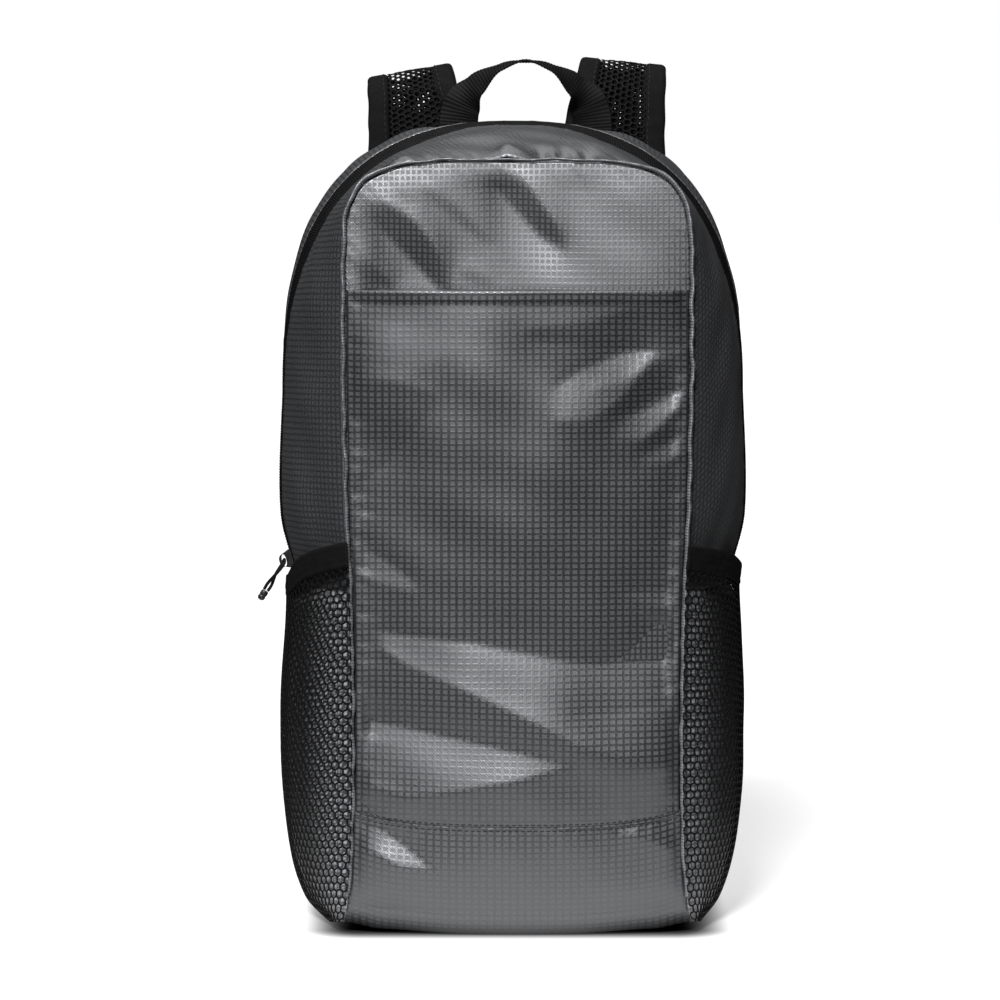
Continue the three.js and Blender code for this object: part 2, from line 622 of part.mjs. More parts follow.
// Zip slider with its bridge, and the cord pull with its moulded tip
function addZipPull() {
  const seat = flankPoint(-1, 0.5, SLIDER.z);
  const outward = flankNormal(-1, 0.5, SLIDER.z);
  const [half, body, top] = [SLIDER.length / 2, SLIDER.body, SLIDER.body + SLIDER.bridgeRise];
  const side = new THREE.Shape();
  side.moveTo(0, -half);
  side.lineTo(body, -half + 1);
  side.lineTo(top - 1, -half + 2.4);
  side.lineTo(top, -half + 4);
  side.lineTo(top, half - 4);
  side.lineTo(top - 1, half - 2.4);
  side.lineTo(body, half - 1);
  side.lineTo(0, half);
  side.closePath();
  const eye = new THREE.Path();
  const eyeMiddle = body + SLIDER.bridgeHole / 2 + 0.4;
  eye.absellipse(eyeMiddle, 0, SLIDER.bridgeHole / 2, half - 1.9, 0, 2 * Math.PI, true);
  side.holes.push(eye);
  const extrusion = { depth: SLIDER.width, bevelEnabled: false, curveSegments: 10 };
  const geometry = new THREE.ExtrudeGeometry(side, extrusion);
  geometry.translate(0, 0, -SLIDER.width / 2).rotateX(Math.PI / 2);
  const slider = addPiece('zip_slider', geometry, MATERIALS.metal);
  const depth = new THREE.Vector3(0, 1, 0).addScaledVector(outward, -outward.y).normalize();
  slider.quaternion.setFromRotationMatrix(
    new THREE.Matrix4().makeBasis(outward, depth, outward.clone().cross(depth)),
  );
  slider.position.copy(seat).addScaledVector(outward, GAP);

  const bridge = seat.clone().addScaledVector(outward, GAP + eyeMiddle);
  bridge.z += PULL_RISE;
  const [before, end] = PULL_STRAND.slice(-2);
  const along = new THREE.Vector3(before.out - end.out, 0, before.down - end.down).normalize();
  const across = new THREE.Vector3(-along.z, 0, along.x);
  const turnRadius = SLIDER.width / 2 + CORD_DIAMETER / 2 + 2 * GAP;
  const turn = [30, 60, 90].map(degToRad).map((angle) => ({
    down: turnRadius * (1 - Math.cos(angle)),
    back: turnRadius * Math.sin(angle),
    out: PULL_TURN_OUT * (1 - Math.cos(angle)) ** 2,
    apart: 0,
  }));
  const strand = (sense) => [...turn, ...PULL_STRAND].map(({ down, out, back, apart }) => bridge.clone()
    .add(new THREE.Vector3(-out, 0, -down))
    .addScaledVector(depth, sense * back)
    .addScaledVector(across, sense * apart));
  const route = [...strand(1).reverse(), bridge, ...strand(-1)];
  addPiece('pull_cord', cord(route, CORD_DIAMETER / 2, 6, 36), MATERIALS.webbing);

  const { radius, length } = PULL_TIP;
  const profile = [
    new THREE.Vector2(0, 0),
    new THREE.Vector2(radius * 0.7, 0.3),
    new THREE.Vector2(radius, 1.6),
    new THREE.Vector2(radius, length - 0.8),
    new THREE.Vector2(radius * 0.8, length),
    new THREE.Vector2(0, length),
  ];
  const tip = addPiece('pull_tip', new THREE.LatheGeometry(profile, 10), MATERIALS.plastic);
  tip.position.set(-end.out, 0, -end.down).add(bridge).addScaledVector(along, GAP + length);
  tip.quaternion.setFromUnitVectors(depth, along.clone().negate());
}

addFrontPanel();
addFrontPocket();
addBasePanel();
addBackPanel();
addGusset();
addSeamRoll();
addHandle();
STRAPS.forEach((strap) => {
  const { side, name } = strap;
  addSidePanel(side, name);
  addSidePocket(side, name);
  addStrap(strap);
  addLadderLock(side, name);
  addAnchor(side, name);
});
addZipPull();

export default pack;
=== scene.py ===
# %% [markdown]
# In this lesson a lightweight day pack is sewn again, piece by piece, over its solid model.
# The solid model is the frame: it fixes where each panel, seam and strap lies. The cells below
# give each piece the folds, weave, net and stitches that a solid model leaves out.

import math

import bpy
import numpy as np
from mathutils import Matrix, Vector


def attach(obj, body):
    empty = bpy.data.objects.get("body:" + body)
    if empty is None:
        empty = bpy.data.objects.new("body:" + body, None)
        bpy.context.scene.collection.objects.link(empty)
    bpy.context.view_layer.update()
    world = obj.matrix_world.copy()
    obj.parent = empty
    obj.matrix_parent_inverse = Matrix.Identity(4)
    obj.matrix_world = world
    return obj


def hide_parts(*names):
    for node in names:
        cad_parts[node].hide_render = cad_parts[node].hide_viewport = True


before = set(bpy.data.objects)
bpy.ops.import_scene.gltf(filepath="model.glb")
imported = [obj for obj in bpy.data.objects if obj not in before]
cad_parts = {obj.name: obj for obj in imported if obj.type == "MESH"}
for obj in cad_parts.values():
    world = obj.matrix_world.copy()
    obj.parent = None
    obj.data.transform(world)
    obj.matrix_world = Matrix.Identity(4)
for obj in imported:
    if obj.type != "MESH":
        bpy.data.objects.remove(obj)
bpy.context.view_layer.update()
scene = bpy.context.scene
MM = 0.001
print("frame:", len(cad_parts), "solid pieces")

# %% [markdown]
# The camera comes first, because every fold is judged through it. The photograph was taken from
# far away with a long lens, a little above the middle of the pack. A camera could be aimed by eye,
# but a distance, a tilt and the size of a pixel at the pack say the same thing and can be checked.

# %% Camera
FRAME_PIXELS = 1000
PIXEL_MM = 0.552
CAMERA_DISTANCE = 2400
CAMERA_TILT = math.radians(4)
CAMERA_TARGET = Vector((-9.4, 0, 231))

camera_data = bpy.data.cameras.new("camera")
camera_data.lens = camera_data.sensor_width * CAMERA_DISTANCE / (FRAME_PIXELS * PIXEL_MM)
camera_data.clip_end = 500
camera = bpy.data.objects.new("camera", camera_data)
camera_back = Vector((0, -math.cos(CAMERA_TILT), math.sin(CAMERA_TILT)))
camera.location = (CAMERA_TARGET + camera_back * CAMERA_DISTANCE) * MM
camera.rotation_euler = (math.pi / 2 - CAMERA_TILT, 0, 0)
scene.collection.objects.link(camera)
scene.camera = camera
print("camera lens:", round(camera_data.lens, 1), "mm")

# %% [markdown]
# Three seam lines shape the pack: one round the front, one along the zip and one round the back.
# They are the solid model's own lines, written again here in millimetres, so that new cloth can be
# laid on them at any fineness. A mesh could be cut out of the solid pieces instead, but their
# facets are too coarse for folds.

# %% Sizes of the seam lines
GAP = 0.3
CLOTH = 1.2
FLANK_SHARE = 0.3
BASE_SEAM_Z = 61
BASE_SEAM_LIFT = 6
BASE_ROUND = 14
POCKET_MOUTH_Z = 348
ZIP_END_Z = 186

SEAM_LINES = {
    "front": dict(shoulder=350, crest=417, squareness=4.5, shift=0),
    "zip": dict(shoulder=292, crest=438, squareness=2.45, shift=-2.4),
    "back": dict(shoulder=300, crest=433, squareness=4.2, shift=-2),
}
# Half the width between the flanks, at each height
FLANKS = dict(
    z=(0, 14, 45, 110, 184, 225, 300),
    front=(95, 92, 89, 88, 89, 91, 93),
    zip=(99, 111, 117, 118, 118.5, 127.5, 126),
    back=(91, 97, 104, 107, 109, 111, 112),
)
# How far forward or back each line lies, and how far the front bulges past its seam
DEPTHS = dict(
    z=(0, 14, 60, 150, 300, 400, 443),
    front=(-49, -61, -64, -66, -61, -50, -42),
    zip=(1, 1, 0, -2, 0, 6, 10),
    back=(48, 61, 62, 62, 62, 62, 62),
    bulge=(9, 12, 14, 15, 14, 11, 6),
)
print("seam lines:", ", ".join(SEAM_LINES))


# %% Reading the seam lines
def lerp(start, end, share):
    return start + (end - start) * share


def smooth(value, low, high):
    share = np.clip((value - low) / (high - low), 0, 1)
    return share * share * (3 - 2 * share)


def unit(vectors):
    return vectors / np.maximum(np.linalg.norm(vectors, axis=-1, keepdims=True), 1e-12)


def points_of(x, y, z):
    return np.stack(np.broadcast_arrays(x, y, z), axis=-1).astype(float)


def read(table, key, column, value):
    """One column of a table at a key's value, on a smooth curve through the rows."""
    keys, heights = np.array(table[key], float), np.array(table[column], float)
    last = len(keys) - 1
    value = np.asarray(value, float)
    row = np.searchsorted(keys[1:-1], value, side="left")
    span = keys[row + 1] - keys[row]
    t = np.clip((value - keys[row]) / span, 0, 1)
    before = np.maximum(np.arange(last + 1) - 1, 0)
    after = np.minimum(np.arange(last + 1) + 1, last)
    slopes = (heights[after] - heights[before]) / (keys[after] - keys[before])
    bend = t * t * (3 - 2 * t) * (heights[row + 1] - heights[row])
    start = t * (1 - t) ** 2 * slopes[row] * span
    end = t * t * (1 - t) * slopes[row + 1] * span
    return heights[row] + bend + start - end


def flank_at(line, z):
    return read(FLANKS, "z", line, z)


def depth_at(line, z):
    return read(DEPTHS, "z", line, z)


def seam_point(line, t, foot_z):
    """A point on a seam line. t runs from the left foot, 0, over the top to the right foot, 1."""
    seam = SEAM_LINES[line]
    climb = np.minimum(t, 1 - t) / FLANK_SHARE
    flank_z = lerp(foot_z, seam["shoulder"], np.minimum(climb, 1))
    turn = np.pi * np.clip((t - FLANK_SHARE) / (1 - 2 * FLANK_SHARE), 0, 1)
    power = 2 / seam["squareness"]
    across = -np.sign(np.cos(turn)) * np.abs(np.cos(turn)) ** power
    top_x = across * flank_at(line, seam["shoulder"])
    top_z = seam["shoulder"] + (seam["crest"] - seam["shoulder"]) * np.abs(np.sin(turn)) ** power
    z = np.where(climb < 1, flank_z, top_z)
    x = np.where(climb < 1, np.sign(t - 0.5) * flank_at(line, flank_z), top_x)
    return points_of(x + seam["shift"], depth_at(line, z), z)


def parabola(first, second, third, w):
    """A curve through three values, at w = 0, a half and 1."""
    return first * (1 - w) * (1 - 2 * w) + second * 4 * w * (1 - w) + third * w * (2 * w - 1)


def gusset_point(t, w, foot_z):
    """The crowned gusset that joins the front seam, w = 0, to the back seam, w = 1."""
    return parabola(*(seam_point(line, t, foot_z) for line in SEAM_LINES), np.asarray(w)[..., None])


def flank_point(side, w, z):
    """The same surface on one flank, by height. side is -1 for the left and 1 for the right."""
    lines = [
        points_of(side * flank_at(line, z) + seam["shift"], depth_at(line, z), z)
        for line, seam in SEAM_LINES.items()
    ]
    return parabola(*lines, np.asarray(w)[..., None])


def flank_normal(side, w, z):
    """The way out of that flank."""
    along_w = flank_point(side, w + 0.01, z) - flank_point(side, w - 0.01, z)
    along_z = flank_point(side, w, z + 1) - flank_point(side, w, z - 1)
    return unit(np.cross(along_w, along_z)) * side


def base_seam_z(u):
    return BASE_SEAM_Z + BASE_SEAM_LIFT * np.asarray(u) ** 4


def arch(line, foot, u, v):
    """A square, u from -1 to 1 and v from 0 to 1, laid inside a seam line: x, z and how far it arches."""
    low, high, power = (SEAM_LINES[line][key] for key in ("shoulder", "crest", "squareness"))
    straight = (low - foot) / (high - foot)
    rise = np.clip((v - straight) / (1 - straight), 0, 1)
    norm = np.maximum((np.abs(u) ** power + rise**power) ** (1 / power), 1e-9)
    pull = np.where(rise > 0, np.maximum(np.abs(u), rise) / norm, 1)
    z = np.where(rise > 0, low + (high - low) * rise * pull, lerp(foot, low, np.minimum(v / straight, 1)))
    return u * pull * flank_at(line, np.minimum(z, low)), z, rise


print("zip crest:", np.round(seam_point("zip", np.array(0.5), ZIP_END_Z), 1))

# %% [markdown]
# Every finish is a small tree of shader nodes. Wiring nodes by hand hides the sum that they make,
# so one class wraps a socket and overloads the operators. An expression such as 1 - line then adds
# its own Math nodes, and any other node comes from one method.

# %% Shader expressions
WEAVE_MAP = "weave"
# The Mix node's colour sockets, which share their names with its sockets for numbers
MIX_FACTOR, MIX_FIRST, MIX_SECOND, MIX_RESULT = 0, 6, 7, 2


def operator(operation, reflected=False):
    """A method that puts two terms or numbers into one Math node."""

    def apply(term, other):
        return term.math(operation, *((other, term) if reflected else (term, other)))

    return apply


class Term:
    """One socket of a finish, which can be used in sums as a number is."""

    __add__, __radd__ = operator("ADD"), operator("ADD", reflected=True)
    __sub__, __rsub__ = operator("SUBTRACT"), operator("SUBTRACT", reflected=True)
    __mul__, __rmul__ = operator("MULTIPLY"), operator("MULTIPLY", reflected=True)
    __truediv__, __rtruediv__ = operator("DIVIDE"), operator("DIVIDE", reflected=True)

    def __init__(self, finish, socket):
        self.finish = finish
        self.socket = socket

    def math(self, operation, *inputs):
        return self.finish.node("ShaderNodeMath", {"operation": operation}, dict(enumerate(inputs)))["Value"]

    def __abs__(self):
        return self.math("ABSOLUTE", self)

    def fraction(self):
        return self.math("FRACT", self)

    def above(self, low):
        """What is over low, and 0 below it."""
        return self.math("MAXIMUM", self - low, 0)

    def wave(self, pitch):
        """A wave from 0 to 1 with that pitch."""
        return self.math("SINE", self * (2 * math.pi / pitch)) * 0.5 + 0.5

    def step(self, low, high):
        """0 below low, 1 above high, and a soft step between."""
        settings = {"interpolation_type": "SMOOTHSTEP"}
        inputs = {"Value": self, "From Min": low, "From Max": high}
        return self.finish.node("ShaderNodeMapRange", settings, inputs)["Result"]


class Node:
    """A node of a finish. Its outputs are read by name or number."""

    def __init__(self, finish, node):
        self.finish = finish
        self.node = node

    def __getitem__(self, name):
        return Term(self.finish, self.node.outputs[name])


class Finish:
    """A material with one Principled shader, whose constants are set on its own sockets."""

    def __init__(self, name, **constants):
        self.material = bpy.data.materials.new(name)
        self.material.use_nodes = True
        self.tree = self.material.node_tree
        self.shader = self.tree.nodes["Principled BSDF"]
        self.paint(**constants)

    def paint(self, **inputs):
        """Sets sockets of the Principled shader. Their names have _ for a space."""
        self.set(self.shader, {key.replace("_", " "): value for key, value in inputs.items()})

    def set(self, node, inputs):
        for key, value in inputs.items():
            socket = node.inputs[key]
            if isinstance(value, Term):
                self.tree.links.new(value.socket, socket)
            else:
                socket.default_value = value

    def node(self, kind, settings=None, inputs=None):
        made = self.tree.nodes.new(kind)
        for key, value in (settings or {}).items():
            setattr(made, key, value)
        self.set(made, inputs or {})
        return Node(self, made)

    def weave(self):
        """Where a point lies on the flat cloth, across and up, in millimetres."""
        place = self.node("ShaderNodeUVMap", {"uv_map": WEAVE_MAP})["UV"]
        apart = self.node("ShaderNodeSeparateXYZ", None, {"Vector": place})
        return apart["X"], apart["Y"], place

    def blend(self, factor, first, second):
        """A colour between two colours."""
        inputs = {MIX_FACTOR: factor, MIX_FIRST: first, MIX_SECOND: second}
        return self.node("ShaderNodeMix", {"data_type": "RGBA"}, inputs)[MIX_RESULT]

    def mottle(self, place, scale):
        """Soft uneven patches, from 0 to 1."""
        return self.node("ShaderNodeTexNoise", None, {"Vector": place, "Scale": scale, "Detail": 3.0})["Fac"]

    def relief(self, height, distance, strength=1.0):
        """Fine relief of the surface, as deep as distance, in millimetres."""
        inputs = {"Height": height, "Distance": distance * MM, "Strength": strength}
        self.paint(Normal=self.node("ShaderNodeBump", None, inputs)["Normal"])


def grey(level, tint=1.0):
    """A neutral colour; tint above 1 adds a little blue."""
    return (level, level * (1 + (tint - 1) / 4), level * tint, 1)


print("shader expressions ready")

# %% [markdown]
# The cloth is a coated ripstop: thick threads cross the fine twill every few millimetres and leave
# a grid of small squares. The threads are darker but glossier than the squares, so the grid turns
# from light on dark to dark on light as the cloth tilts. An image could not do that. Here the grid
# steers the base colour and the roughness, and the light does the rest. The cloth behind the nets
# is paler near the front seam, where light comes through the net in the photograph.

# %% Cloth finish
SQUARE_SHARE, SQUARE_EDGE = 0.63, 0.1
TWILL_PITCH = 1.1
PATCHES_PER_MM, GRAINS_PER_MM = 0.05, 0.9
# The last level here is the grey of the painted light near the front seam, and the next line says over which
# distances it fades.
THREAD_LEVEL, SQUARE_LEVEL, SEAM_LIGHT_LEVEL = 0.003, 0.034, 0.3
SEAM_FROM, SEAM_TO = 8, 40


def ripstop(name, pitch_across, pitch_up, level=1.0, thread=0.25, painted_light_at_seam=False):
    """Coated ripstop. level scales its brightness and thread says how bright the thick threads are. With
    painted light at the seam, the squares turn paler near the front seam: a painted pool of light.
    """
    finish = Finish(name, IOR=1.9, Specular_Tint=(0.96, 0.97, 1, 1))
    across, up, place = finish.weave()
    off_across = abs((across / pitch_across).fraction() - 0.5) * 2
    off_up = abs((up / pitch_up).fraction() - 0.5) * 2
    inside, outside = SQUARE_SHARE - SQUARE_EDGE, SQUARE_SHARE + SQUARE_EDGE
    square = (1 - off_across.step(inside, outside)) * (1 - off_up.step(inside, outside))
    twill = (across + up).wave(TWILL_PITCH * math.sqrt(2))
    patches = finish.mottle(place, PATCHES_PER_MM)
    grain = finish.mottle(place, GRAINS_PER_MM)
    shade = (square * (1 - thread) + thread) * (patches * 0.3 + 0.85) * (twill * 0.12 + 0.94)
    shade = shade * (grain * 2.4 - 0.2)
    dark, light = grey(THREAD_LEVEL * level, 1.08), grey(SQUARE_LEVEL * level, 1.1)
    # Painted light: near the front seam the squares' colour blends to a much paler grey, standing in for
    # light that comes through the net.
    if painted_light_at_seam:
        light = finish.blend(across.step(SEAM_FROM, SEAM_TO), grey(SEAM_LIGHT_LEVEL, 1.1), light)
    finish.paint(Base_Color=finish.blend(shade, dark, light))
    finish.paint(Roughness=square * 0.2 + twill * 0.06 + grain * 0.34 + 0.2)
    finish.relief((1 - square) * 0.7 + twill * 0.3, 0.06)
    return finish.material


pocket_cloth = ripstop("pocket_ripstop", 4.1, 3.2)
yoke_cloth = ripstop("yoke_ripstop", 3.1, 3.25)
gusset_cloth = ripstop("gusset_ripstop", 3.2, 3.2, level=0.9, thread=0.65)
# Painted highlight: the seam roll is the same ripstop, with its colour painted 3.5 times lighter.
roll_cloth_painted_highlight = ripstop("roll_ripstop_painted_highlight", 1.6, 1.6, level=3.5)
# The side panels get painted light: their colour is paler near the front seam than further back.
side_cloth = ripstop("side_ripstop", 3.2, 3.2, level=0.8, painted_light_at_seam=True)
print("cloth finishes:", pocket_cloth.name, yoke_cloth.name, gusset_cloth.name)

# %% [markdown]
# The black pieces differ in weave: ribbed webbing, herringbone binding, knitted net, spacer mesh,
# moulded plastic and painted metal. One black for all would look painted on, so each gets its own
# small relief and its own roughness.

# %% Black finishes
WEBBING_THREAD, SLANT_PITCH = 0.9, 1.2
PATCHES_PER_METRE, GRAINS_PER_METRE = 180.0, 2500.0


def ribbed(name, rib_pitch, level, roughness):
    """Webbing with ribs across it, made of fine threads along it."""
    finish = Finish(name, Roughness=roughness, IOR=1.2)
    across, along, place = finish.weave()
    rib = along.wave(rib_pitch)
    thread = across.wave(WEBBING_THREAD)
    lint = finish.mottle(place, 0.4)
    shade = rib * 0.6 + thread * 0.25 + lint * 0.15
    finish.paint(Base_Color=finish.blend(shade, grey(level * 0.35), grey(level * 1.5)))
    finish.relief(rib * 0.6 + thread * 0.4, 0.18)
    return finish.material


def herringbone(name, level, column=3.5):
    """Elastic tape: slanted threads that change direction in columns."""
    finish = Finish(name, Roughness=0.75, IOR=1.15)
    across, along, place = finish.weave()
    zigzag = abs((across / column).fraction() - 0.5) * column
    slant = (along + zigzag).wave(SLANT_PITCH)
    lint = finish.mottle(place, 0.3)
    finish.paint(Base_Color=finish.blend(slant * 0.8 + lint * 0.2, grey(level * 0.3), grey(level * 4)))
    finish.relief(slant, 0.2)
    return finish.material


def knitted(name, level, roughness, loop_pitch):
    """Knitted yarn: fine slanted loops along every strand."""
    finish = Finish(name, Roughness=roughness, IOR=1.2)
    across, along, place = finish.weave()
    loops = (across * 0.7 + along).wave(loop_pitch)
    lint = finish.mottle(place, 0.8)
    finish.paint(Base_Color=finish.blend(loops * 0.6 + lint * 0.4, grey(level * 0.5), grey(level * 1.6)))
    finish.relief(loops, 0.12)
    return finish.material


def moulded(name, level, roughness, metallic=0.0):
    """Moulded plastic or painted metal, a little uneven, with random patches that are lighter and rougher."""
    finish = Finish(name, IOR=1.5, Metallic=metallic)
    place = finish.node("ShaderNodeTexCoord")["Object"]
    patches = finish.mottle(place, PATCHES_PER_METRE)
    grain = finish.mottle(place, GRAINS_PER_METRE)
    finish.paint(Base_Color=finish.blend(patches, grey(level * 0.7), grey(level * 1.4)))
    finish.paint(Roughness=patches * 0.16 + (roughness - 0.08))
    finish.relief(grain, 0.05, 0.5)
    return finish.material


webbing_black = ribbed("webbing_black", 1.8, 0.004, 0.62)
tape_black = herringbone("binding_black", 0.003)
zip_black = ribbed("zip_black", 1.4, 0.003, 0.6)
net_black = knitted("net_black", 0.003, 0.6, 0.7)
spacer_black = knitted("spacer_black", 0.003, 0.6, 0.9)
thread_grey = knitted("thread_grey", 0.02, 0.5, 0.6)
plastic_black = moulded("plastic_black", 0.014, 0.38)
slider_black = moulded("slider_black", 0.03, 0.4, 0.7)
print("black finishes made")

# %% [markdown]
# Most pieces here are walls: a grid of points for the outer face, the same grid a thickness behind
# it, and a rim that joins them. A Solidify modifier gives the same, but a wall built in one go keeps
# its outer face where the seam lines put it and carries the place on the flat cloth for the weave.

# %% Walls and sweeps
CURVE_SAMPLES = 4000


def quads(*corners):
    return np.stack(corners, axis=-1).reshape(-1, 4)


def grid_normals(points):
    return unit(np.cross(np.gradient(points, axis=1), np.gradient(points, axis=0)))


def arc_lengths(points, axis):
    """Lengths along one direction of a grid, from its first line."""
    steps = np.linalg.norm(np.diff(points, axis=axis), axis=-1)
    start = np.zeros_like(np.take(steps, [0], axis=axis))
    return np.cumsum(np.concatenate([start, steps], axis=axis), axis=axis)


def turns(count):
    return np.linspace(0, 2 * np.pi, count, endpoint=False)


def circle(turn):
    return np.stack([np.cos(turn), np.sin(turn)], axis=-1)


def at_length(at, along, points):
    """Points of a line at some lengths along it."""
    return np.stack([np.interp(at, along, points[:, axis]) for axis in range(3)], axis=-1)


def add_mesh(name, points, faces, weave, material, flat_faces=0):
    """A mesh from millimetres. The last flat_faces faces keep a sharp edge."""
    mesh = bpy.data.meshes.new(name)
    mesh.from_pydata((points * MM).tolist(), [], [list(map(int, face)) for face in faces])
    smooth_face = np.ones(len(mesh.polygons), bool)
    if flat_faces:
        smooth_face[-flat_faces:] = False
    mesh.polygons.foreach_set("use_smooth", smooth_face)
    corner = np.zeros(len(mesh.loops), np.int32)
    mesh.loops.foreach_get("vertex_index", corner)
    layer = mesh.uv_layers.new(name=WEAVE_MAP)
    layer.uv.foreach_set("vector", weave[corner].astype(np.float32).ravel())
    mesh.materials.append(material)
    mesh.update()
    piece = bpy.data.objects.new(name, mesh)
    scene.collection.objects.link(piece)
    return piece


def add_wall(name, grid, thickness, material, weave=None, lift=0.0):
    """A closed wall whose outer face is the grid. Columns run to the right, rows run up."""
    rows, columns = grid.shape[:2]
    layer = rows * columns
    normal = grid_normals(grid)
    outer = grid + normal * lift
    inner = outer - normal * thickness
    index = np.arange(layer).reshape(rows, columns)
    front = quads(index[:-1, :-1], index[:-1, 1:], index[1:, 1:], index[1:, :-1])
    back = front[:, ::-1] + layer
    ring = np.concatenate([index[0, :-1], index[:-1, -1], index[-1, :0:-1], index[:0:-1, 0]])
    onward = np.roll(ring, -1)
    rim = quads(ring, ring + layer, onward + layer, onward)
    if weave is None:
        across = arc_lengths(grid, 1)
        weave = np.stack([across - across[:, [columns // 2]], arc_lengths(grid, 0)], axis=-1)
    flat = weave.reshape(-1, 2)
    points = np.concatenate([outer.reshape(-1, 3), inner.reshape(-1, 3)])
    faces = np.concatenate([front, back, rim])
    return add_mesh(name, points, faces, np.concatenate([flat, flat]), material, len(rim))


def add_sweep(name, centre, side, normal, profile, material):
    """A closed band or cord: a profile of offsets across and out, swept along a line."""
    points = centre[:, None] + profile[..., :1] * side[:, None] + profile[..., 1:] * normal[:, None]
    stations, around = points.shape[:2]
    index = np.arange(stations * around).reshape(stations, around)
    onward = np.roll(index, -1, axis=1)
    sides = quads(index[:-1], onward[:-1], onward[1:], index[1:])
    caps = [index[0][::-1], index[-1]]
    along = arc_lengths(centre, 0)
    across = np.broadcast_to(profile[..., 0], (stations, around))
    weave = np.stack([across, np.broadcast_to(along[:, None], (stations, around))], axis=-1)
    faces = [*sides, *caps]
    return add_mesh(name, points.reshape(-1, 3), faces, weave.reshape(-1, 2), material, len(caps))


def sew(piece, slot, *nodes):
    """Puts a piece on the pack in place of its solid nodes."""
    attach(piece, "root")
    if nodes:
        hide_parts(*nodes)
    return piece


def cut_from(piece, grid):
    """Works out the sides of a grid's cells and keeps nothing of them."""
    sides = np.cross(grid[1:, 1:] - grid[:-1, :-1], grid[1:, :-1] - grid[:-1, 1:])


def even_shares(curve, count, low=0.0, high=1.0):
    """Parameters that divide a curve into steps of one length."""
    dense = np.linspace(low, high, CURVE_SAMPLES)
    length = arc_lengths(curve(dense), 0)
    return np.interp(np.linspace(0, length[-1], count), length, dense)


print("walls and sweeps ready")

# %% [markdown]
# A route through a few points bends smoothly between them. Blender's own curves could carry the
# straps, but the solid model uses a centripetal curve, so the same one is worked out here and
# every strap, loop and cord lies exactly where its solid does.

# %% Routes
ROUTE_SAMPLES = 600


def route_at(rows, share):
    """Points of a centripetal curve through the rows. share runs from 0 to 1."""
    rows = np.array(rows, float)
    full = np.concatenate([[2 * rows[0] - rows[1]], rows, [2 * rows[-1] - rows[-2]]])
    at = np.clip(share, 0, 1) * (len(rows) - 1)
    row = np.minimum(at.astype(int), len(rows) - 2)
    t = (at - row)[:, None]
    p0, p1, p2, p3 = (full[row + k] for k in range(4))
    gap0, gap1, gap2 = (
        np.maximum(np.linalg.norm(b - a, axis=1, keepdims=True) ** 0.5, 1e-4)
        for a, b in ((p0, p1), (p1, p2), (p2, p3))
    )
    start = ((p1 - p0) / gap0 - (p2 - p0) / (gap0 + gap1) + (p2 - p1) / gap1) * gap1
    end = ((p2 - p1) / gap1 - (p3 - p1) / (gap1 + gap2) + (p3 - p2) / gap2) * gap1
    bend = t * t * (3 - 2 * t) * (p2 - p1)
    return p1 + bend + t * (1 - t) ** 2 * start - t * t * (1 - t) * end


def eased(values, share):
    """A column of a route's rows, eased from row to row."""
    values = np.array(values, float)
    at = np.clip(share, 0, 1) * (len(values) - 1)
    row = np.minimum(at.astype(int), len(values) - 2)
    return lerp(values[row], values[row + 1], smooth(at - row, 0, 1))


def ribbon_frame(rows, across, spacing, twists=None):
    """Centre line, side and normal of a strip along a route, and the shares they were taken at."""
    length = arc_lengths(route_at(rows, np.linspace(0, 1, ROUTE_SAMPLES)), 0)[-1]
    share = even_shares(lambda s: route_at(rows, s), max(int(length / spacing), 8))
    centre = route_at(rows, share)
    tangent = unit(route_at(rows, share + 1e-4) - route_at(rows, share - 1e-4))
    across = np.array(across, float)
    side = unit(across - tangent * (tangent @ across)[:, None])
    if twists is not None:
        turn = np.radians(eased(twists, share))[:, None]
        side = side * np.cos(turn) + np.cross(tangent, side) * np.sin(turn)
    return centre, side, np.cross(tangent, side), share


print("routes ready")

# %% [markdown]
# The cord pull is the pack's one free cord: a doubled cord through the slider's bridge, moulded into
# a tip. Its whole length shows in the photograph. A bevelled curve keeps its true length and
# thickness, and the route is the solid model's own.

# %% Zip pull
CORD_DIAMETER = 1.8
SLIDER_Z = 199
SLIDER_WIDTH = 5
EYE_OFF_SEAT = 4.5
PULL_RISE = 0.6
PULL_TURN_OUT = 1.7
TIP_LENGTH = 6
# One strand below its turn through the bridge, from the bridge's middle
PULL_STRAND = dict(
    down=(8, 11.3, 14.2, 17),
    out=(4.6, 6.6, 8.4, 10.2),
    back=(3.4, 2, 0.6, 0),
    apart=(0.3, 0.9, 1.3, 1.1),
)

slider_out = flank_normal(-1, np.array(0.5), SLIDER_Z)
bridge = flank_point(-1, np.array(0.5), SLIDER_Z) + slider_out * (GAP + EYE_OFF_SEAT)
bridge = bridge + np.array([0, 0, PULL_RISE])
slider_depth = unit(np.array([0, 1, 0]) - slider_out * slider_out[1])
turn_radius = SLIDER_WIDTH / 2 + CORD_DIAMETER / 2 + 2 * GAP
turn = np.radians([30, 60, 90])
strand = {
    "down": np.append(turn_radius * (1 - np.cos(turn)), PULL_STRAND["down"]),
    "out": np.append(PULL_TURN_OUT * (1 - np.cos(turn)) ** 2, PULL_STRAND["out"]),
    "back": np.append(turn_radius * np.sin(turn), PULL_STRAND["back"]),
    "apart": np.append(turn * 0, PULL_STRAND["apart"]),
}
last_step = {way: strand[way][-2] - strand[way][-1] for way in ("out", "down")}
pull_along = unit(np.array([last_step["out"], 0, last_step["down"]]))
pull_across = np.array([-pull_along[2], 0, pull_along[0]])


def pull_side(sense):
    hang = points_of(-strand["out"], 0 * strand["out"], -strand["down"])
    return (
        bridge
        + hang
        + sense * strand["back"][:, None] * slider_depth
        + sense * strand["apart"][:, None] * pull_across
    )


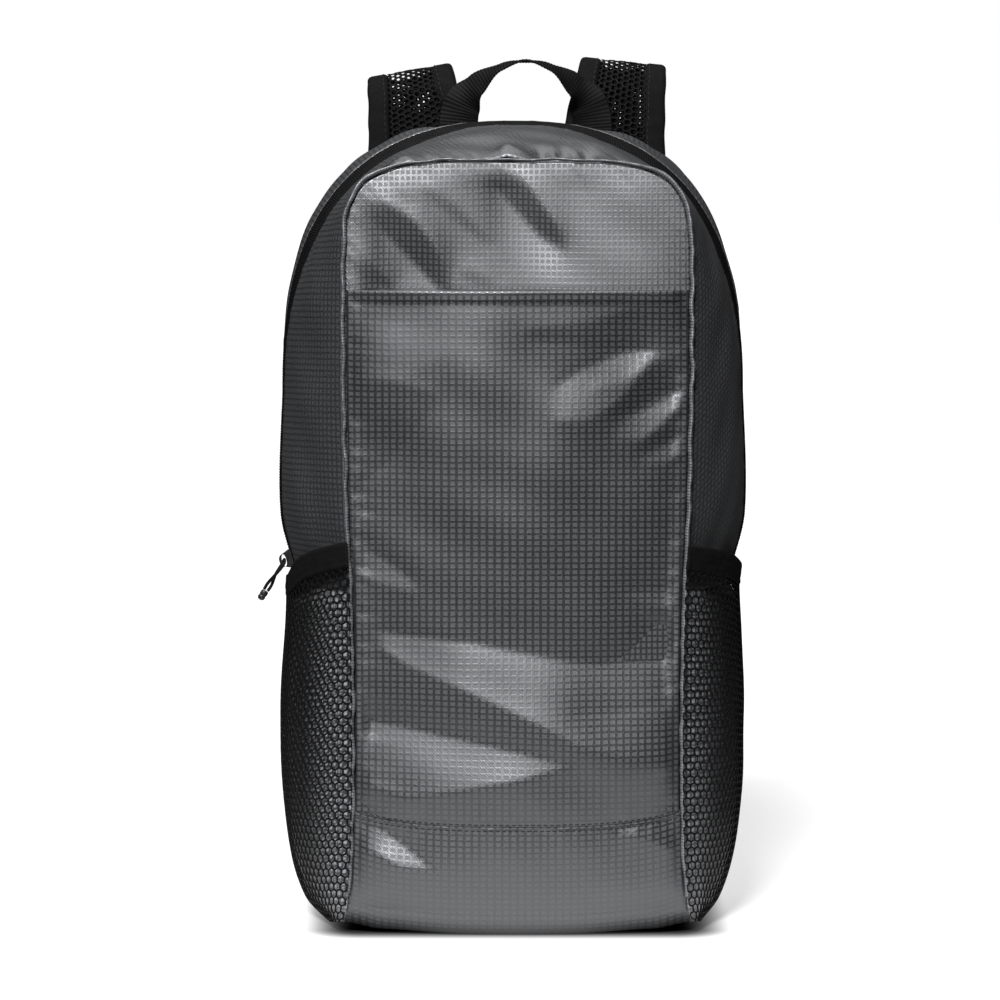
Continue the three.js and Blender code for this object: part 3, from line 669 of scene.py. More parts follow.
pull_rows = np.concatenate([pull_side(1)[::-1], [bridge], pull_side(-1)])
pull_line = route_at(pull_rows, even_shares(lambda s: route_at(pull_rows, s), 39))
cord_curve = bpy.data.curves.new("pull_cord_line", "CURVE")
cord_curve.dimensions = "3D"
cord_curve.bevel_depth = CORD_DIAMETER / 2 * MM
cord_curve.bevel_resolution = 4
cord_curve.use_fill_caps = True
spline = cord_curve.splines.new("POLY")
spline.points.add(len(pull_line) - 1)
for point, place in zip(spline.points, pull_line * MM):
    point.co = (*place, 1)
spline.use_smooth = True
cord_curve.materials.append(webbing_black)
pull_cord = bpy.data.objects.new("pull_cord_braid", cord_curve)
scene.collection.objects.link(pull_cord)
sew(pull_cord, "webbing", "pull_cord")

# %% Moulded tip of the pull
# Rings of the tip from its far end up
TIP_PROFILE = dict(
    along=(0, 0.2, 0.7, 1.6, 2.0, 2.4, 3.0, 3.4, 3.8, 5.0, 5.6, 6.0),
    radius=(0.4, 1.2, 1.75, 2.1, 2.1, 1.9, 1.9, 2.1, 2.1, 2.1, 1.95, 1.5),
)
cord_end = bridge + np.array([-strand["out"][-1], 0, -strand["down"][-1]])
tip_start = cord_end + pull_along * (GAP + TIP_LENGTH)
tip_rings = np.array(TIP_PROFILE["radius"])[:, None, None] * circle(turns(24))
tip_centre = tip_start - np.array(TIP_PROFILE["along"])[:, None] * pull_along
tip_side = np.broadcast_to(slider_depth, tip_centre.shape)
tip_normal = np.cross(np.broadcast_to(-pull_along, tip_centre.shape), tip_side)
pull_tip = add_sweep("pull_tip_moulded", tip_centre, tip_side, tip_normal, tip_rings, plastic_black)
sew(pull_tip, "plastic", "pull_tip")
tuple(bridge * MM)
print("pull tip:", len(pull_tip.data.polygons), "faces")

# %% [markdown]
# Thin coated cloth does not roll in round waves. It breaks into flat facets with soft edges, each
# tilted a little up or down, and the tilt decides how bright it looks. So the folds of the front are
# a table of facets: where each lies and how far it tilts. A least squares sum then gives the depth of
# the cloth that follows those tilts best, stays on its seams and is as level across as it can be.
# Cloth simulation could make folds too, but not these folds.

# %% Folds
FACET_END = 4
LATTICE = 2


def facet_tilt(facets, x, z, edge=2.2):
    """Sum of the facets' tilts, in degrees. Each facet lies between a top and a bottom line."""
    tilt = np.zeros(np.broadcast(x, z).shape)
    for facet in facets.values():
        top, bottom = (np.interp(x, facet["x"], facet[line]) for line in ("top", "bottom"))
        past_first, before_last = x - facet["x"][0], facet["x"][-1] - x
        ends = smooth(past_first, -FACET_END, FACET_END) * smooth(before_last, -FACET_END, FACET_END)
        mask = smooth(top - z, -edge, edge) * smooth(z - bottom, -edge, edge) * ends
        tilt = tilt + facet["tilt"] * mask
    return tilt


def relaxed_depth(tilt, step_across, step_up, levelling=0.3):
    """Depth of a cloth that follows the tilts up it and stays as level as it can across it.

    The foot and both sides stay on their seams and the top is free. The least squares problem
    falls apart into one sum for each pair of waves, so two small matrices solve it.
    """
    rows, columns = tilt.shape
    climb = np.diff(np.eye(rows), axis=0)[:, 1:] / step_up
    across = np.diff(np.eye(columns), axis=0)[:, 1:-1] / step_across
    climb_size, climb_wave = np.linalg.eigh(climb.T @ climb)
    across_size, across_wave = np.linalg.eigh(across.T @ across)
    slope = -np.tan(np.radians(tilt))
    slope = (slope[1:] + slope[:-1]) / 2
    pull = climb_wave.T @ (climb.T @ slope[:, 1:-1]) @ across_wave
    depth = climb_wave @ (pull / (climb_size[:, None] + levelling * across_size)) @ across_wave.T
    return np.pad(depth, ((1, 0), (1, 1)))


def facet_depth(facets, x, z, half_width, foot, top):
    """Relaxed depth of facets that hang from a top seam, found on an even lattice and read off it."""
    columns = np.arange(-half_width, half_width + 1, LATTICE)
    rows = np.arange(foot, top + 1, LATTICE)
    tilt = facet_tilt(facets, *np.meshgrid(columns, rows), edge=3.5)
    lattice = relaxed_depth(-tilt[::-1], LATTICE, LATTICE, levelling=0.12)[::-1]
    column = np.clip((x + half_width) / LATTICE, 0, len(columns) - 1.001)
    row = np.clip((z - foot) / LATTICE, 0, len(rows) - 1.001)
    left, low = column.astype(int), row.astype(int)
    below = lerp(lattice[low, left], lattice[low, left + 1], column - left)
    above = lerp(lattice[low + 1, left], lattice[low + 1, left + 1], column - left)
    return lerp(below, above, row - low)


def ripple(x, z, pitch, seed, waves=7):
    """Seeded uneven waves of about one pitch, from -1 to 1."""
    chance = np.random.default_rng(seed)
    total = 0
    for _ in range(waves):
        way, start = chance.uniform(0, 2 * np.pi), chance.uniform(0, 2 * np.pi)
        size = chance.uniform(0.75, 1.35)
        total = total + np.sin(2 * np.pi * (x * np.cos(way) + z * np.sin(way)) / (pitch * size) + start)
    return total / waves**0.5 / 1.5


def pucker(along, off, seed, reach=8.0):
    """Small gathers that a seam pulls into the cloth beside it."""
    chance = np.random.default_rng(seed)
    total = 0
    for pitch in (8.0, 13.0, 21.0):
        bend = chance.uniform(-0.25, 0.25)
        total = total + np.sin(2 * np.pi * (along + off * bend) / pitch + chance.uniform(0, 6))
    return total / 3 * np.exp(-off / reach) * (1 - np.exp(-off / 1.5))


print("fold tools ready")

# %% [markdown]
# The front pocket is one sheet of cloth, sewn in at the flanks and the base and open at the top. It
# hangs a little slack, so the pack pulls it into long facets that run into the side seams. Bright
# facets tilt up to the light, dark ones tilt down. The sum is worked out a few columns past each
# seam and then faded, so that a facet keeps its tilt almost up to the seam.

# %% Front pocket
POCKET_LIFT = 2.1
POCKET_SLACK = 8.25
POCKET_INSET = 1.1
HEM_DEPTH = 5.5
HEM_RISE = 0.7
POCKET_FILL = 3.0
SEAM_SLIT = 0.05
SEAM_FADE = 9
# Columns of the fold sum past each seam
SEAM_SPARE = 5
POCKET_FACETS = dict(
    wedge=dict(x=(-74, -60, -24, 10, 30, 44, 60, 76, 94), top=(166, 164, 160, 153, 149, 148, 151, 157, 163),
               bottom=(156, 147, 132, 117, 107, 102, 98, 95, 95), tilt=19),
    wedge_tip=dict(x=(-76, -58, -30), top=(169, 167, 164), bottom=(155, 145, 134), tilt=-5),
    wedge_low=dict(x=(30, 50, 72, 94), top=(122, 122, 126, 130), bottom=(104, 96, 92, 90), tilt=5),
    left_slope=dict(x=(-90, -60, -32, 0, 27), top=(118, 114, 109, 102, 95),
                    bottom=(84, 76, 80, 86, 93), tilt=20),
    left_notch=dict(x=(-92, -77, -54), top=(214, 208, 192), bottom=(201, 191, 186), tilt=12),
    left_slit=dict(x=(-92, -76), top=(234, 228), bottom=(224, 226), tilt=9),
    right_notch=dict(x=(58, 74, 90), top=(187, 187, 187), bottom=(184, 178, 174), tilt=15),
    right_tuck=dict(x=(66, 90), top=(175, 174), bottom=(170, 168), tilt=-12),
    high_pull=dict(x=(20, 37, 57, 72), top=(297, 308, 315, 316), bottom=(279, 279, 290, 311), tilt=11),
    high_edge=dict(x=(40, 57, 72), top=(309, 315, 316), bottom=(296, 298, 311), tilt=9),
    high_tuck=dict(x=(48, 62, 76, 92), top=(284, 298, 311, 314), bottom=(280, 284, 293, 296), tilt=-13),
    mid_pull=dict(x=(54, 67, 85, 92), top=(279, 284, 293, 295), bottom=(270, 267, 284, 291), tilt=14),
    mid_tuck=dict(x=(64, 76, 92), top=(267, 272, 290), bottom=(262, 266, 272), tilt=-14),
    low_pull=dict(x=(69, 78, 92), top=(261, 265, 271), bottom=(256, 254, 263), tilt=15),
    under_hem=dict(x=(5, 40, 64, 92), top=(328, 331, 340, 344), bottom=(322, 318, 316, 312), tilt=-9),
    left_top=dict(x=(-92, -60, -30), top=(342, 342, 342), bottom=(303, 300, 320), tilt=2),
    left_hollow=dict(x=(-92, -70, -45), top=(303, 300, 294), bottom=(240, 255, 286), tilt=-9),
)


def pocket_grid(columns, rows):
    u, v = np.meshgrid(np.linspace(-1, 1, columns), np.linspace(0, 1, rows))
    z = lerp(base_seam_z(u) + SEAM_SLIT, POCKET_MOUTH_Z, v)
    x = u * (flank_at("front", z) - POCKET_INSET)
    climb = (z - base_seam_z(u)) / (POCKET_MOUTH_Z - base_seam_z(u))
    slack = POCKET_SLACK * (1 - u * u) * climb**0.7
    fill = POCKET_FILL * (1 - u * u) * (1 - climb) ** 3
    plain = depth_at("front", z) - depth_at("bulge", z) * (1 - u * u) - slack - fill - POCKET_LIFT
    off_seam = flank_at("front", z) * (1 - np.abs(u))
    fade = smooth(off_seam, 0, SEAM_FADE)
    steps = 2 * flank_at("front", 200) / columns, (POCKET_MOUTH_Z - BASE_SEAM_Z) / rows
    tilt = np.pad(facet_tilt(POCKET_FACETS, x, z), ((0, 0), (SEAM_SPARE, SEAM_SPARE)), "edge")
    folds = relaxed_depth(tilt, *steps)[:, SEAM_SPARE:-SEAM_SPARE] * fade
    folds = folds + 0.7 * ripple(x, z, 46, 3) * fade * smooth(climb, 0, 0.1)
    gathers = pucker(z, off_seam, 5) * 0.5
    gathers = gathers + pucker(x, z - base_seam_z(u), 8, 6.0) * 0.5 * fade
    below_mouth = POCKET_MOUTH_Z - z
    hem = smooth(HEM_DEPTH - below_mouth, -1.5, 0) + np.clip(1 - below_mouth / HEM_DEPTH, 0, 1)
    grid = points_of(x, plain - folds - gathers - HEM_RISE * hem * fade, z)
    weave = np.stack([arc_lengths(points_of(x, plain, z), 1), z + 0.15 * folds], axis=-1)
    weave[..., 0] -= weave[:, [columns // 2], 0]
    return grid, weave


pocket, pocket_weave = pocket_grid(131, 205)
front_pocket = add_wall("front_pocket_cloth", pocket, CLOTH, pocket_cloth, pocket_weave)
sew(front_pocket, "ripstop", "front_pocket")
cut_from(front_pocket, pocket)

# %% [markdown]
# The front panel is the wall behind the pocket. Only its yoke shows, above the pocket's mouth, and
# there it is pressed into soft valleys that run down towards the pocket. They could be rounded
# creases, but these too are flat where the light turns on them, so they are facets again. They hang
# from the top seam, because the yoke's foot lies free behind the pocket.

# %% Front panel
YOKE_FILL = 3.6
YOKE_FROM = 0.72
YOKE_REACH, YOKE_FADE = 75, 18
YOKE_SPREAD = 1.03
HIDDEN_SINK = 5
YOKE_FACETS = dict(
    long_valley=dict(x=(-88, -71, -55, -44, -38), top=(401, 395, 385, 372, 362),
                     bottom=(392, 377, 362, 350, 348), tilt=-20),
    corner=dict(x=(-88, -70, -54), top=(414, 414, 414), bottom=(401, 398, 394), tilt=-5),
    low_valley=dict(x=(-90, -79, -67), top=(369, 363, 353), bottom=(361, 352, 346), tilt=-20),
    mid_valley=dict(x=(-15, -1, 12, 25), top=(420, 415, 396, 378), bottom=(404, 391, 377, 370), tilt=-15),
    soft_valley=dict(x=(-50, -32, -14), top=(405, 393, 376), bottom=(398, 384, 371), tilt=-8),
    mouth_dip=dict(x=(-29, -14), top=(360, 354), bottom=(353, 348), tilt=-7),
)


def front_grid(columns, rows_below, rows_above):
    seam = SEAM_LINES["front"]
    inset = 1 - GAP / seam["crest"]
    below = np.linspace(0, YOKE_FROM, rows_below, endpoint=False)
    shares = np.append(below, np.linspace(YOKE_FROM, 1, rows_above))
    u, v = np.meshgrid(np.linspace(-1, 1, columns) * inset, shares * inset)
    x, z, rise = arch("front", base_seam_z(u) + GAP, u, v)
    hidden = smooth(POCKET_MOUTH_Z - z, 5, 40)
    level = np.clip((z - seam["shoulder"]) / (seam["crest"] - seam["shoulder"]), 0, 1)
    width = 1 - (x / flank_at("front", 300)) ** 4
    sunk = depth_at("bulge", z) * (1 - u * u) - HIDDEN_SINK * width
    fill = lerp(YOKE_FILL * width * (1 - level), sunk, hidden)
    plain = depth_at("front", z) - fill
    edge = (1 - np.maximum(np.abs(u), rise)) * YOKE_REACH
    fade = smooth(edge, 0, YOKE_FADE) * smooth(z, POCKET_MOUTH_Z - 34, POCKET_MOUTH_Z - 10)
    folds = facet_depth(YOKE_FACETS, x, z, half_width=92, foot=318, top=430)
    folds = folds + 0.25 * ripple(x, z, 34, 11)
    gathers = pucker(x + z, edge, 21, 5.0) * 0.4 * smooth(z, POCKET_MOUTH_Z, POCKET_MOUTH_Z + 10)
    grid = points_of(x, plain - folds * fade - gathers, z)
    return grid, np.stack([x * YOKE_SPREAD, z + 0.2 * folds], axis=-1)


yoke, yoke_weave = front_grid(131, 18, 90)
front_panel = add_wall("front_panel_cloth", yoke, CLOTH, yoke_cloth, yoke_weave)
sew(front_panel, "ripstop", "front_panel")
cut_from(front_panel, yoke)

# %% [markdown]
# The base panel is one piece of cloth that runs down the front, under the pack and up to the back.
# It carries the weight, so it is stretched flat but for small gathers under its seam and a facet at
# each upper corner. Shares of the way down it say where the wall ends and where the floor begins.

# %% Base panel
WALL_END, FLOOR_START, FLOOR_END = 0.4, 0.6, 0.85
BASE_TUCK = 1.6
BASE_SINK, TUCK_SINK = 0.4, 1.4
CORNER_LIFT = 3.0
BASE_FACETS = dict(
    left_patch=dict(x=(-90, -76, -63, -46), top=(60, 61, 52, 38), bottom=(47, 45, 38, 36), tilt=27),
    right_patch=dict(x=(54, 68, 80, 92), top=(59, 62, 63, 64), bottom=(56, 55, 49, 44), tilt=28),
)


def crown_of(u):
    return 1 - (1 - 2 * u) ** 2


def base_point(u, v):
    across = 1 - 2 * u
    crown = crown_of(u)
    front_y = depth_at("front", BASE_ROUND) - depth_at("bulge", BASE_ROUND) * crown
    back_y = depth_at("back", BASE_ROUND)
    down, front_turn, under, back_turn = (
        np.clip((v - start) / (end - start), 0, 1)
        for start, end in ((0, WALL_END), (WALL_END, FLOOR_START), (FLOOR_START, FLOOR_END), (FLOOR_END, 1))
    )
    front_turn, back_turn = front_turn * np.pi / 2, back_turn * np.pi / 2
    wall_z = lerp(base_seam_z(across) + BASE_TUCK, BASE_ROUND, down)
    round_z = BASE_ROUND * (2 - np.sin(front_turn) - np.cos(back_turn))
    z = np.where(v < WALL_END, wall_z, round_z)
    wall_y = depth_at("front", z) - depth_at("bulge", z) * crown
    floor_y = lerp(front_y + BASE_ROUND, back_y - BASE_ROUND, under)
    turn_y = front_y + BASE_ROUND * (1 - np.cos(front_turn))
    low_y = np.where(v < FLOOR_START, turn_y, floor_y + BASE_ROUND * np.sin(back_turn))
    y = np.where(v < WALL_END, wall_y, low_y)
    floor_half = parabola(*(flank_at(line, 0) for line in SEAM_LINES), under)
    low_half = np.where(v < FLOOR_END, floor_half, flank_at("back", z))
    half = np.where(v < FLOOR_START, flank_at("front", z), low_half)
    return points_of(across * (half - GAP), y, z)


def base_grid(columns, rows_front, rows_under):
    above = np.linspace(0, FLOOR_START, rows_front, endpoint=False)
    shares = np.append(above, np.linspace(FLOOR_START, 1, rows_under))
    u, v = np.meshgrid(np.linspace(0, 1, columns), shares)
    grid = base_point(u, v)
    x, z = grid[..., 0], grid[..., 2]
    on_front = 1 - smooth(v, 0.3, 0.45)
    off_seam = base_seam_z(1 - 2 * u) - z
    flank = flank_at("front", z) - np.abs(x)
    fade = smooth(flank, 0, 8)
    flush = POCKET_LIFT + POCKET_FILL * crown_of(u) * (1 - smooth(off_seam, 0, 50))
    flush = flush - BASE_SINK - TUCK_SINK * (1 - smooth(off_seam, -1.5, -0.2))
    aside = np.abs(1 - 2 * u)
    lift = CORNER_LIFT * (smooth(aside, 0.78, 1) + 0.5 * smooth(aside, 0.3, 0.8))
    grid[..., 2] += lift * (1 - smooth(z, 0, 30)) * (1 - smooth(v, FLOOR_START, 0.8))
    grid[..., 1] -= flush * (1 - smooth(v, FLOOR_START, 0.75))
    steps = 2 * flank_at("front", 45) / columns, BASE_SEAM_Z / rows_front
    folds = -relaxed_depth(facet_tilt(BASE_FACETS, x, z), *steps) * fade * on_front
    gathers = pucker(x, np.maximum(off_seam, 0), 31, 6.0) * 0.8 + 0.4 * ripple(x, z, 40, 33)
    gathers = gathers * on_front * fade * smooth(off_seam, 0, 3)
    grid[..., 1] -= np.where(v < WALL_END, folds, 0) + gathers
    weave = -np.stack([arc_lengths(base_point(u, v), axis) for axis in (1, 0)], axis=-1)
    weave[..., 0] -= weave[:, [columns // 2], 0]
    return grid, weave


base, base_weave = base_grid(121, 80, 30)
base_panel = add_wall("base_panel_cloth", base, CLOTH, pocket_cloth, base_weave)
sew(base_panel, "ripstop", "base_panel")
cut_from(base_panel, base)

# %% [markdown]
# The gusset runs up one flank, over the top and down the other, with the zip along its middle. Its
# two strips are gathered where they meet the curved front seam, so the gathers are strongest over
# the top and fade down the flanks.

# %% Gusset strips
GUSSET_WIDTH = 155
SEAM_SHARE = 1.2 / GUSSET_WIDTH
ZIP_HALF = 0.04
ZIP_GAP = 0.001
TUCK_REACH = 9
# From where to where the shoulders curve, the rear strip begins to puff and the top begins
SHOULDER_X, PUFF_Z, TOP_Z = (15, 60), (300, 390), (380, 415)
# Swells across the gusset: where each lies, its half width, and its lift at the crest and shoulders
ZIP_LIFTS = dict(
    w=(0.44, 0.55, 0.7), half=(0.12, 0.05, 0.13), crest=(0, 2.2, -3.5), shoulder=(-3.5, 2.2, 2.5)
)
TOP_TUCKS = dict(x=(-5, 13, 25, 38, -62), half=(7, 4, 4, 5, 8), rise=(5.5, -3.6, -3, -3.6, 3))


def bell(off, half):
    return np.exp(-((off / half) ** 2))


def over_zip(grid, w):
    """Lift of the gusset: a lip behind the zip, and a rear strip that puffs out at the shoulders."""
    shoulder = smooth(np.abs(grid[..., 0]), *SHOULDER_X)
    lift = 0
    for at, half, crest, side in zip(*ZIP_LIFTS.values()):
        lift = lift + lerp(crest, side, shoulder) * bell(w - at, half)
    return lift * smooth(grid[..., 2], *PUFF_Z)


def zip_line(t):
    """The gusset's middle line, along which the zip runs."""
    return gusset_point(t, np.full_like(t, 0.5), ZIP_END_Z + GAP)


def gusset_grid(start, end, columns, rows, seed):
    t = even_shares(zip_line, rows)
    u, t = np.meshgrid(np.linspace(0, 1, columns), t)
    w = lerp(start, end, 1 - u)
    grid = gusset_point(t, w, ZIP_END_Z + GAP)
    along = arc_lengths(grid, 0)
    off_front, off_zip = w * GUSSET_WIDTH, (np.abs(w - 0.5) - ZIP_HALF) * GUSSET_WIDTH
    over_top = smooth(grid[..., 2], *TOP_Z)
    gathers = pucker(along, off_front, seed, 9.0) * lerp(0.5, 1.5, over_top)
    gathers = gathers + pucker(along, np.maximum(off_zip, 0), seed + 1, 5.0) * 0.5
    slack = 0.9 * ripple(along, off_front, 40, seed + 2) * np.sin(np.pi * u)
    ridge = 0.5 * bell(off_zip - 2.2, 1.3) * (w < 0.5)
    tucks = np.zeros_like(along)
    for at_x, half, rise in zip(*TOP_TUCKS.values()):
        tucks = tucks + rise * bell(grid[..., 0] - at_x, half) * bell(off_front - TUCK_REACH, TUCK_REACH)
    lift = gathers + slack + ridge + tucks * over_top + over_zip(grid, w)
    grid = grid + grid_normals(grid) * lift[..., None]
    return grid, np.stack([off_front, along], axis=-1)


for name, start, end, seed in (
    ("gusset_front", SEAM_SHARE, 0.5 - ZIP_HALF - ZIP_GAP, 41),
    ("gusset_rear", 0.5 + ZIP_HALF + ZIP_GAP, 1 - SEAM_SHARE, 51),
):
    grid, weave = gusset_grid(start, end, 31, 420, seed)
    strip = sew(add_wall(name + "_cloth", grid, CLOTH, gusset_cloth, weave), "ripstop", name)
    cut_from(strip, grid)

# %% [markdown]
# A coil zip is a woven tape with a nylon spiral along its middle. Five hundred modelled teeth would
# be heavy and hardly seen, so the tape's own grid is fine enough to carry the spiral's ridges.

# %% Zip
COIL_HALF = 2.7
COIL_RISE, TOOTH_RISE = 0.9, 0.45
CHAIN_HALF, CHAIN_DEPTH = 0.35, 0.35
TOOTH_PITCH = 1.5
ZIP_STATIONS = 1540
zip_reach = ZIP_HALF - ZIP_GAP
zip_t = even_shares(zip_line, ZIP_STATIONS)
zip_w, zip_t = np.meshgrid(np.linspace(0.5 + zip_reach, 0.5 - zip_reach, 11), zip_t)
zip_grid = gusset_point(zip_t, zip_w, ZIP_END_Z + GAP)
zip_along = arc_lengths(zip_grid, 0)
zip_off = (zip_w - 0.5) * GUSSET_WIDTH
tooth = 0.5 + 0.5 * np.cos(2 * np.pi * (zip_along + np.abs(zip_off) * 0.15) / TOOTH_PITCH)
coil = np.clip(1 - (zip_off / COIL_HALF) ** 2, 0, 1) ** 0.5 * (COIL_RISE - TOOTH_RISE * (1 - tooth))
coil = coil - CHAIN_DEPTH * bell(zip_off, CHAIN_HALF)
zip_grid = zip_grid + grid_normals(zip_grid) * (coil + over_zip(zip_grid, zip_w))[..., None]
zip_tape = add_wall("zip_tape_coil", zip_grid, CLOTH, zip_black, np.stack([zip_off, zip_along], -1))
sew(zip_tape, "zip_coil", "zip_tape")
cut_from(zip_tape, zip_grid)

# %% [markdown]
# Below the zip each flank is one plain panel, seen through the net. The back panel is out of sight in
# the photograph, so it is finished as a plain flat panel of the same cloth.

# %% Side and back panels
SIDES = {"left": -1, "right": 1}
SIDE_WIDTH = 135
SIDE_FOOT_Z = 1.9
NET_BELLY = 8
BACK_HALF, BACK_HEIGHT, BACK_SINK = 110, 400, 0.6


def corner_lift(w):
    return CORNER_LIFT * smooth(1 - w, 0.8, 1)


def belly_at(w, climb, top):
    """How far a flank swells. top is the share of a half wave that its upper edge has reached."""
    return NET_BELLY * np.clip(np.sin(np.pi * w), 0, 1) ** 0.8 * np.sin(np.pi * lerp(0.06, top, climb))


def side_grid(side, columns, rows):
    u, v = np.meshgrid(np.linspace(0, 1, columns), np.linspace(0, 1, rows))
    edge = 0.4 / SIDE_WIDTH
    w = lerp(edge, 1 - edge, 1 - u if side < 0 else u)
    z = lerp(SIDE_FOOT_Z + corner_lift(w), ZIP_END_Z, v)
    grid = flank_point(side, w, z)
    creases = 0.3 * ripple(w * SIDE_WIDTH, z, 42, 60 + side) * np.sin(np.pi * u)
    swell = (belly_at(w, v, 0.8) + creases) * smooth(1 - v, 0, 0.06)
    return grid + grid_normals(grid) * swell[..., None], np.stack([w * SIDE_WIDTH, z], axis=-1)


for name, side in SIDES.items():
    grid, weave = side_grid(side, 60, 70)
    panel = add_wall(f"side_panel_{name}_cloth", grid, CLOTH, side_cloth, weave)
    cut_from(sew(panel, "ripstop", f"side_panel_{name}"), grid)


def back_grid(columns, rows):
    u, v = np.meshgrid(np.linspace(1, -1, columns), np.linspace(0, 1, rows))
    x, z, _ = arch("back", BASE_ROUND + 2 * GAP, u, v)
    x = x * (1 - GAP / FLANKS["back"][-1]) + SEAM_LINES["back"]["shift"]
    edge = np.minimum((1 - np.abs(u)) * BACK_HALF, np.minimum(v, 1 - v) * BACK_HEIGHT)
    gathers = pucker(x + z, edge, 71, 7.0) * 0.7 + 0.7 * ripple(x, z, 60, 73) * smooth(edge, 0, 20)
    return points_of(x, DEPTHS["back"][-1] + np.minimum(gathers - BACK_SINK, 0), z - GAP)


back = back_grid(71, 101)
back_panel = sew(add_wall("back_panel_cloth", back, CLOTH, gusset_cloth), "ripstop", "back_panel")
cut_from(back_panel, back)

# %% [markdown]
# The front seam's allowance is turned to the outside and rolled, so a thin light cord of cloth
# frames the front. That lightness is a painted highlight: the roll is the same ripstop, painted
# brighter. A smooth sweep would look like rope, so its path strays a little and its profile is
# wrinkled by seeded ripples. It grows thinner over the crest.

# %% Rolled front seam
ROLL_RADIUS, CREST_SHARE, CREST_Z = 1.4, 0.5, (408, 420)
ROLL_FLATTENED = (0.8, 1.15)
ROLL_FOOT_Z = 20
ROLL_STATIONS, ROLL_END = 1000, 0.0005
roll_t = even_shares(lambda s: seam_point("front", s, ROLL_FOOT_Z), ROLL_STATIONS, ROLL_END, 1 - ROLL_END)
roll_at = seam_point("front", roll_t, ROLL_FOOT_Z)
inward = unit(gusset_point(roll_t, np.full_like(roll_t, 0.08), ROLL_FOOT_Z) - roll_at)
roll_along = unit(np.gradient(roll_at, axis=0))
away = unit(unit(np.cross(roll_along, inward)) + np.array([0, -1, 0]))
roll_side = unit(np.cross(away, roll_along))
roll_length = arc_lengths(roll_at, 0)
stray = 0.6 * ripple(roll_length, roll_length * 0, 22, 81)
roll_centre = roll_at + away * (ROLL_RADIUS + GAP) + roll_side * stray[:, None]
roll_turn = turns(14)
wrinkle = 1 + 0.14 * ripple(roll_length[:, None], roll_turn * ROLL_RADIUS, 6, 83)
over_crest = smooth(roll_at[:, 2], *CREST_Z)[:, None]
roll_size = ROLL_RADIUS * wrinkle * lerp(1, CREST_SHARE, over_crest)
roll_profile = roll_size[..., None] * circle(roll_turn) * ROLL_FLATTENED
seam_roll = add_sweep("front_seam_roll_cloth", roll_centre, roll_side, away, roll_profile, roll_cloth_painted_highlight)
sew(seam_roll, "ripstop", "front_seam_roll")
print("seam roll:", round(float(roll_length[-1])), "mm")

# %% [markdown]
# The side pockets are a knitted net of six-sided holes. A picture of holes on a flat sheet would look
# solid from the side, so every hole is cut into the mesh: each cell is a ring between a shared
# six-sided border and a rounded hole, raised along the border like a strand.

# %% Open net
CELL_RING = np.array(
    [(0, 4), (-1, 3), (-2, 2), (-2, 0), (-2, -2), (-1, -3), (0, -4), (1, -3), (2, -2), (2, 0), (2, 2), (1, 3)]
)
CELL_CORNERS = len(CELL_RING)
CORNER_ROUNDING = np.array([0.96, 1, 0.99, 1, 0.99, 1] * 2)


def open_net(width, height, pitch, row, hole, strand_half):
    """Flat points, lifts and faces of a net. The lattice counts quarter pitches and sixth rows."""
    i, j = np.meshgrid(np.arange(int(width / pitch) + 2), np.arange(int(height / row) + 2))
    middle = np.stack([4 * i + 2 * (j % 2), 6 * j], axis=-1).reshape(-1, 2)
    corners, place = np.unique((middle[:, None] + CELL_RING).reshape(-1, 2), axis=0, return_inverse=True)
    place = place.reshape(-1, CELL_CORNERS)
    scale = np.array([pitch / 4, row / 6])
    holes = (middle[:, None] + CELL_RING * hole * CORNER_ROUNDING[:, None]).reshape(-1, 2)
    flat = np.clip(np.concatenate([corners, corners, holes]) * scale, 0, (width, height))
    count = len(corners)
    lift = np.concatenate([np.full(count, strand_half), np.full(count, -strand_half), np.zeros(len(holes))])
    ring = 2 * count + np.arange(len(holes)).reshape(-1, CELL_CORNERS)
    onward, ring_onward = np.roll(place, -1, axis=1), np.roll(ring, -1, axis=1)
    front = quads(place, onward, ring_onward, ring)
    back = quads(place + count, ring, ring_onward, onward + count)
    faces = np.concatenate([front, back])
    a, b, c, d = (flat[faces[:, corner]].T for corner in range(4))
    (first_x, first_y), (second_x, second_y) = c - a, d - b
    faces = faces[np.abs(first_x * second_y - first_y * second_x) > 1e-4 * pitch * row]
    return flat, lift, [*faces, *closed_border(faces, count)]


def closed_border(faces, count):
    """Faces that join the front of a net to its back, along the edges that only one face has."""
    edges = np.concatenate([faces[:, [k, (k + 1) % 4]] for k in range(4)])
    _, place, uses = np.unique(np.sort(edges, axis=1), axis=0, return_inverse=True, return_counts=True)
    border = edges[uses[place.ravel()] == 1]
    border = border[(border < count).any(axis=1)]
    ring_end, ring_start = border[:, 1] >= 2 * count, border[:, 0] >= 2 * count
    along = border[~ring_end & ~ring_start]
    into, out_of = border[ring_end], border[ring_start]
    return [
        *np.stack([along[:, 1], along[:, 0], along[:, 0] + count, along[:, 1] + count], axis=1),
        *np.stack([into[:, 1], into[:, 0], into[:, 0] + count], axis=1),
        *np.stack([out_of[:, 1], out_of[:, 0], out_of[:, 1] + count], axis=1),
    ]


def lay_on(surface, flat, lift):
    """Flat points laid on a surface, each lifted along its normal."""
    across, up = flat.T
    step = 0.2
    along = surface(across + step, up) - surface(across - step, up)
    rise = surface(across, up + step) - surface(across, up - step)
    return surface(across, up) + unit(np.cross(along, rise)) * lift[:, None]


print("net cells have", CELL_CORNERS, "corners")

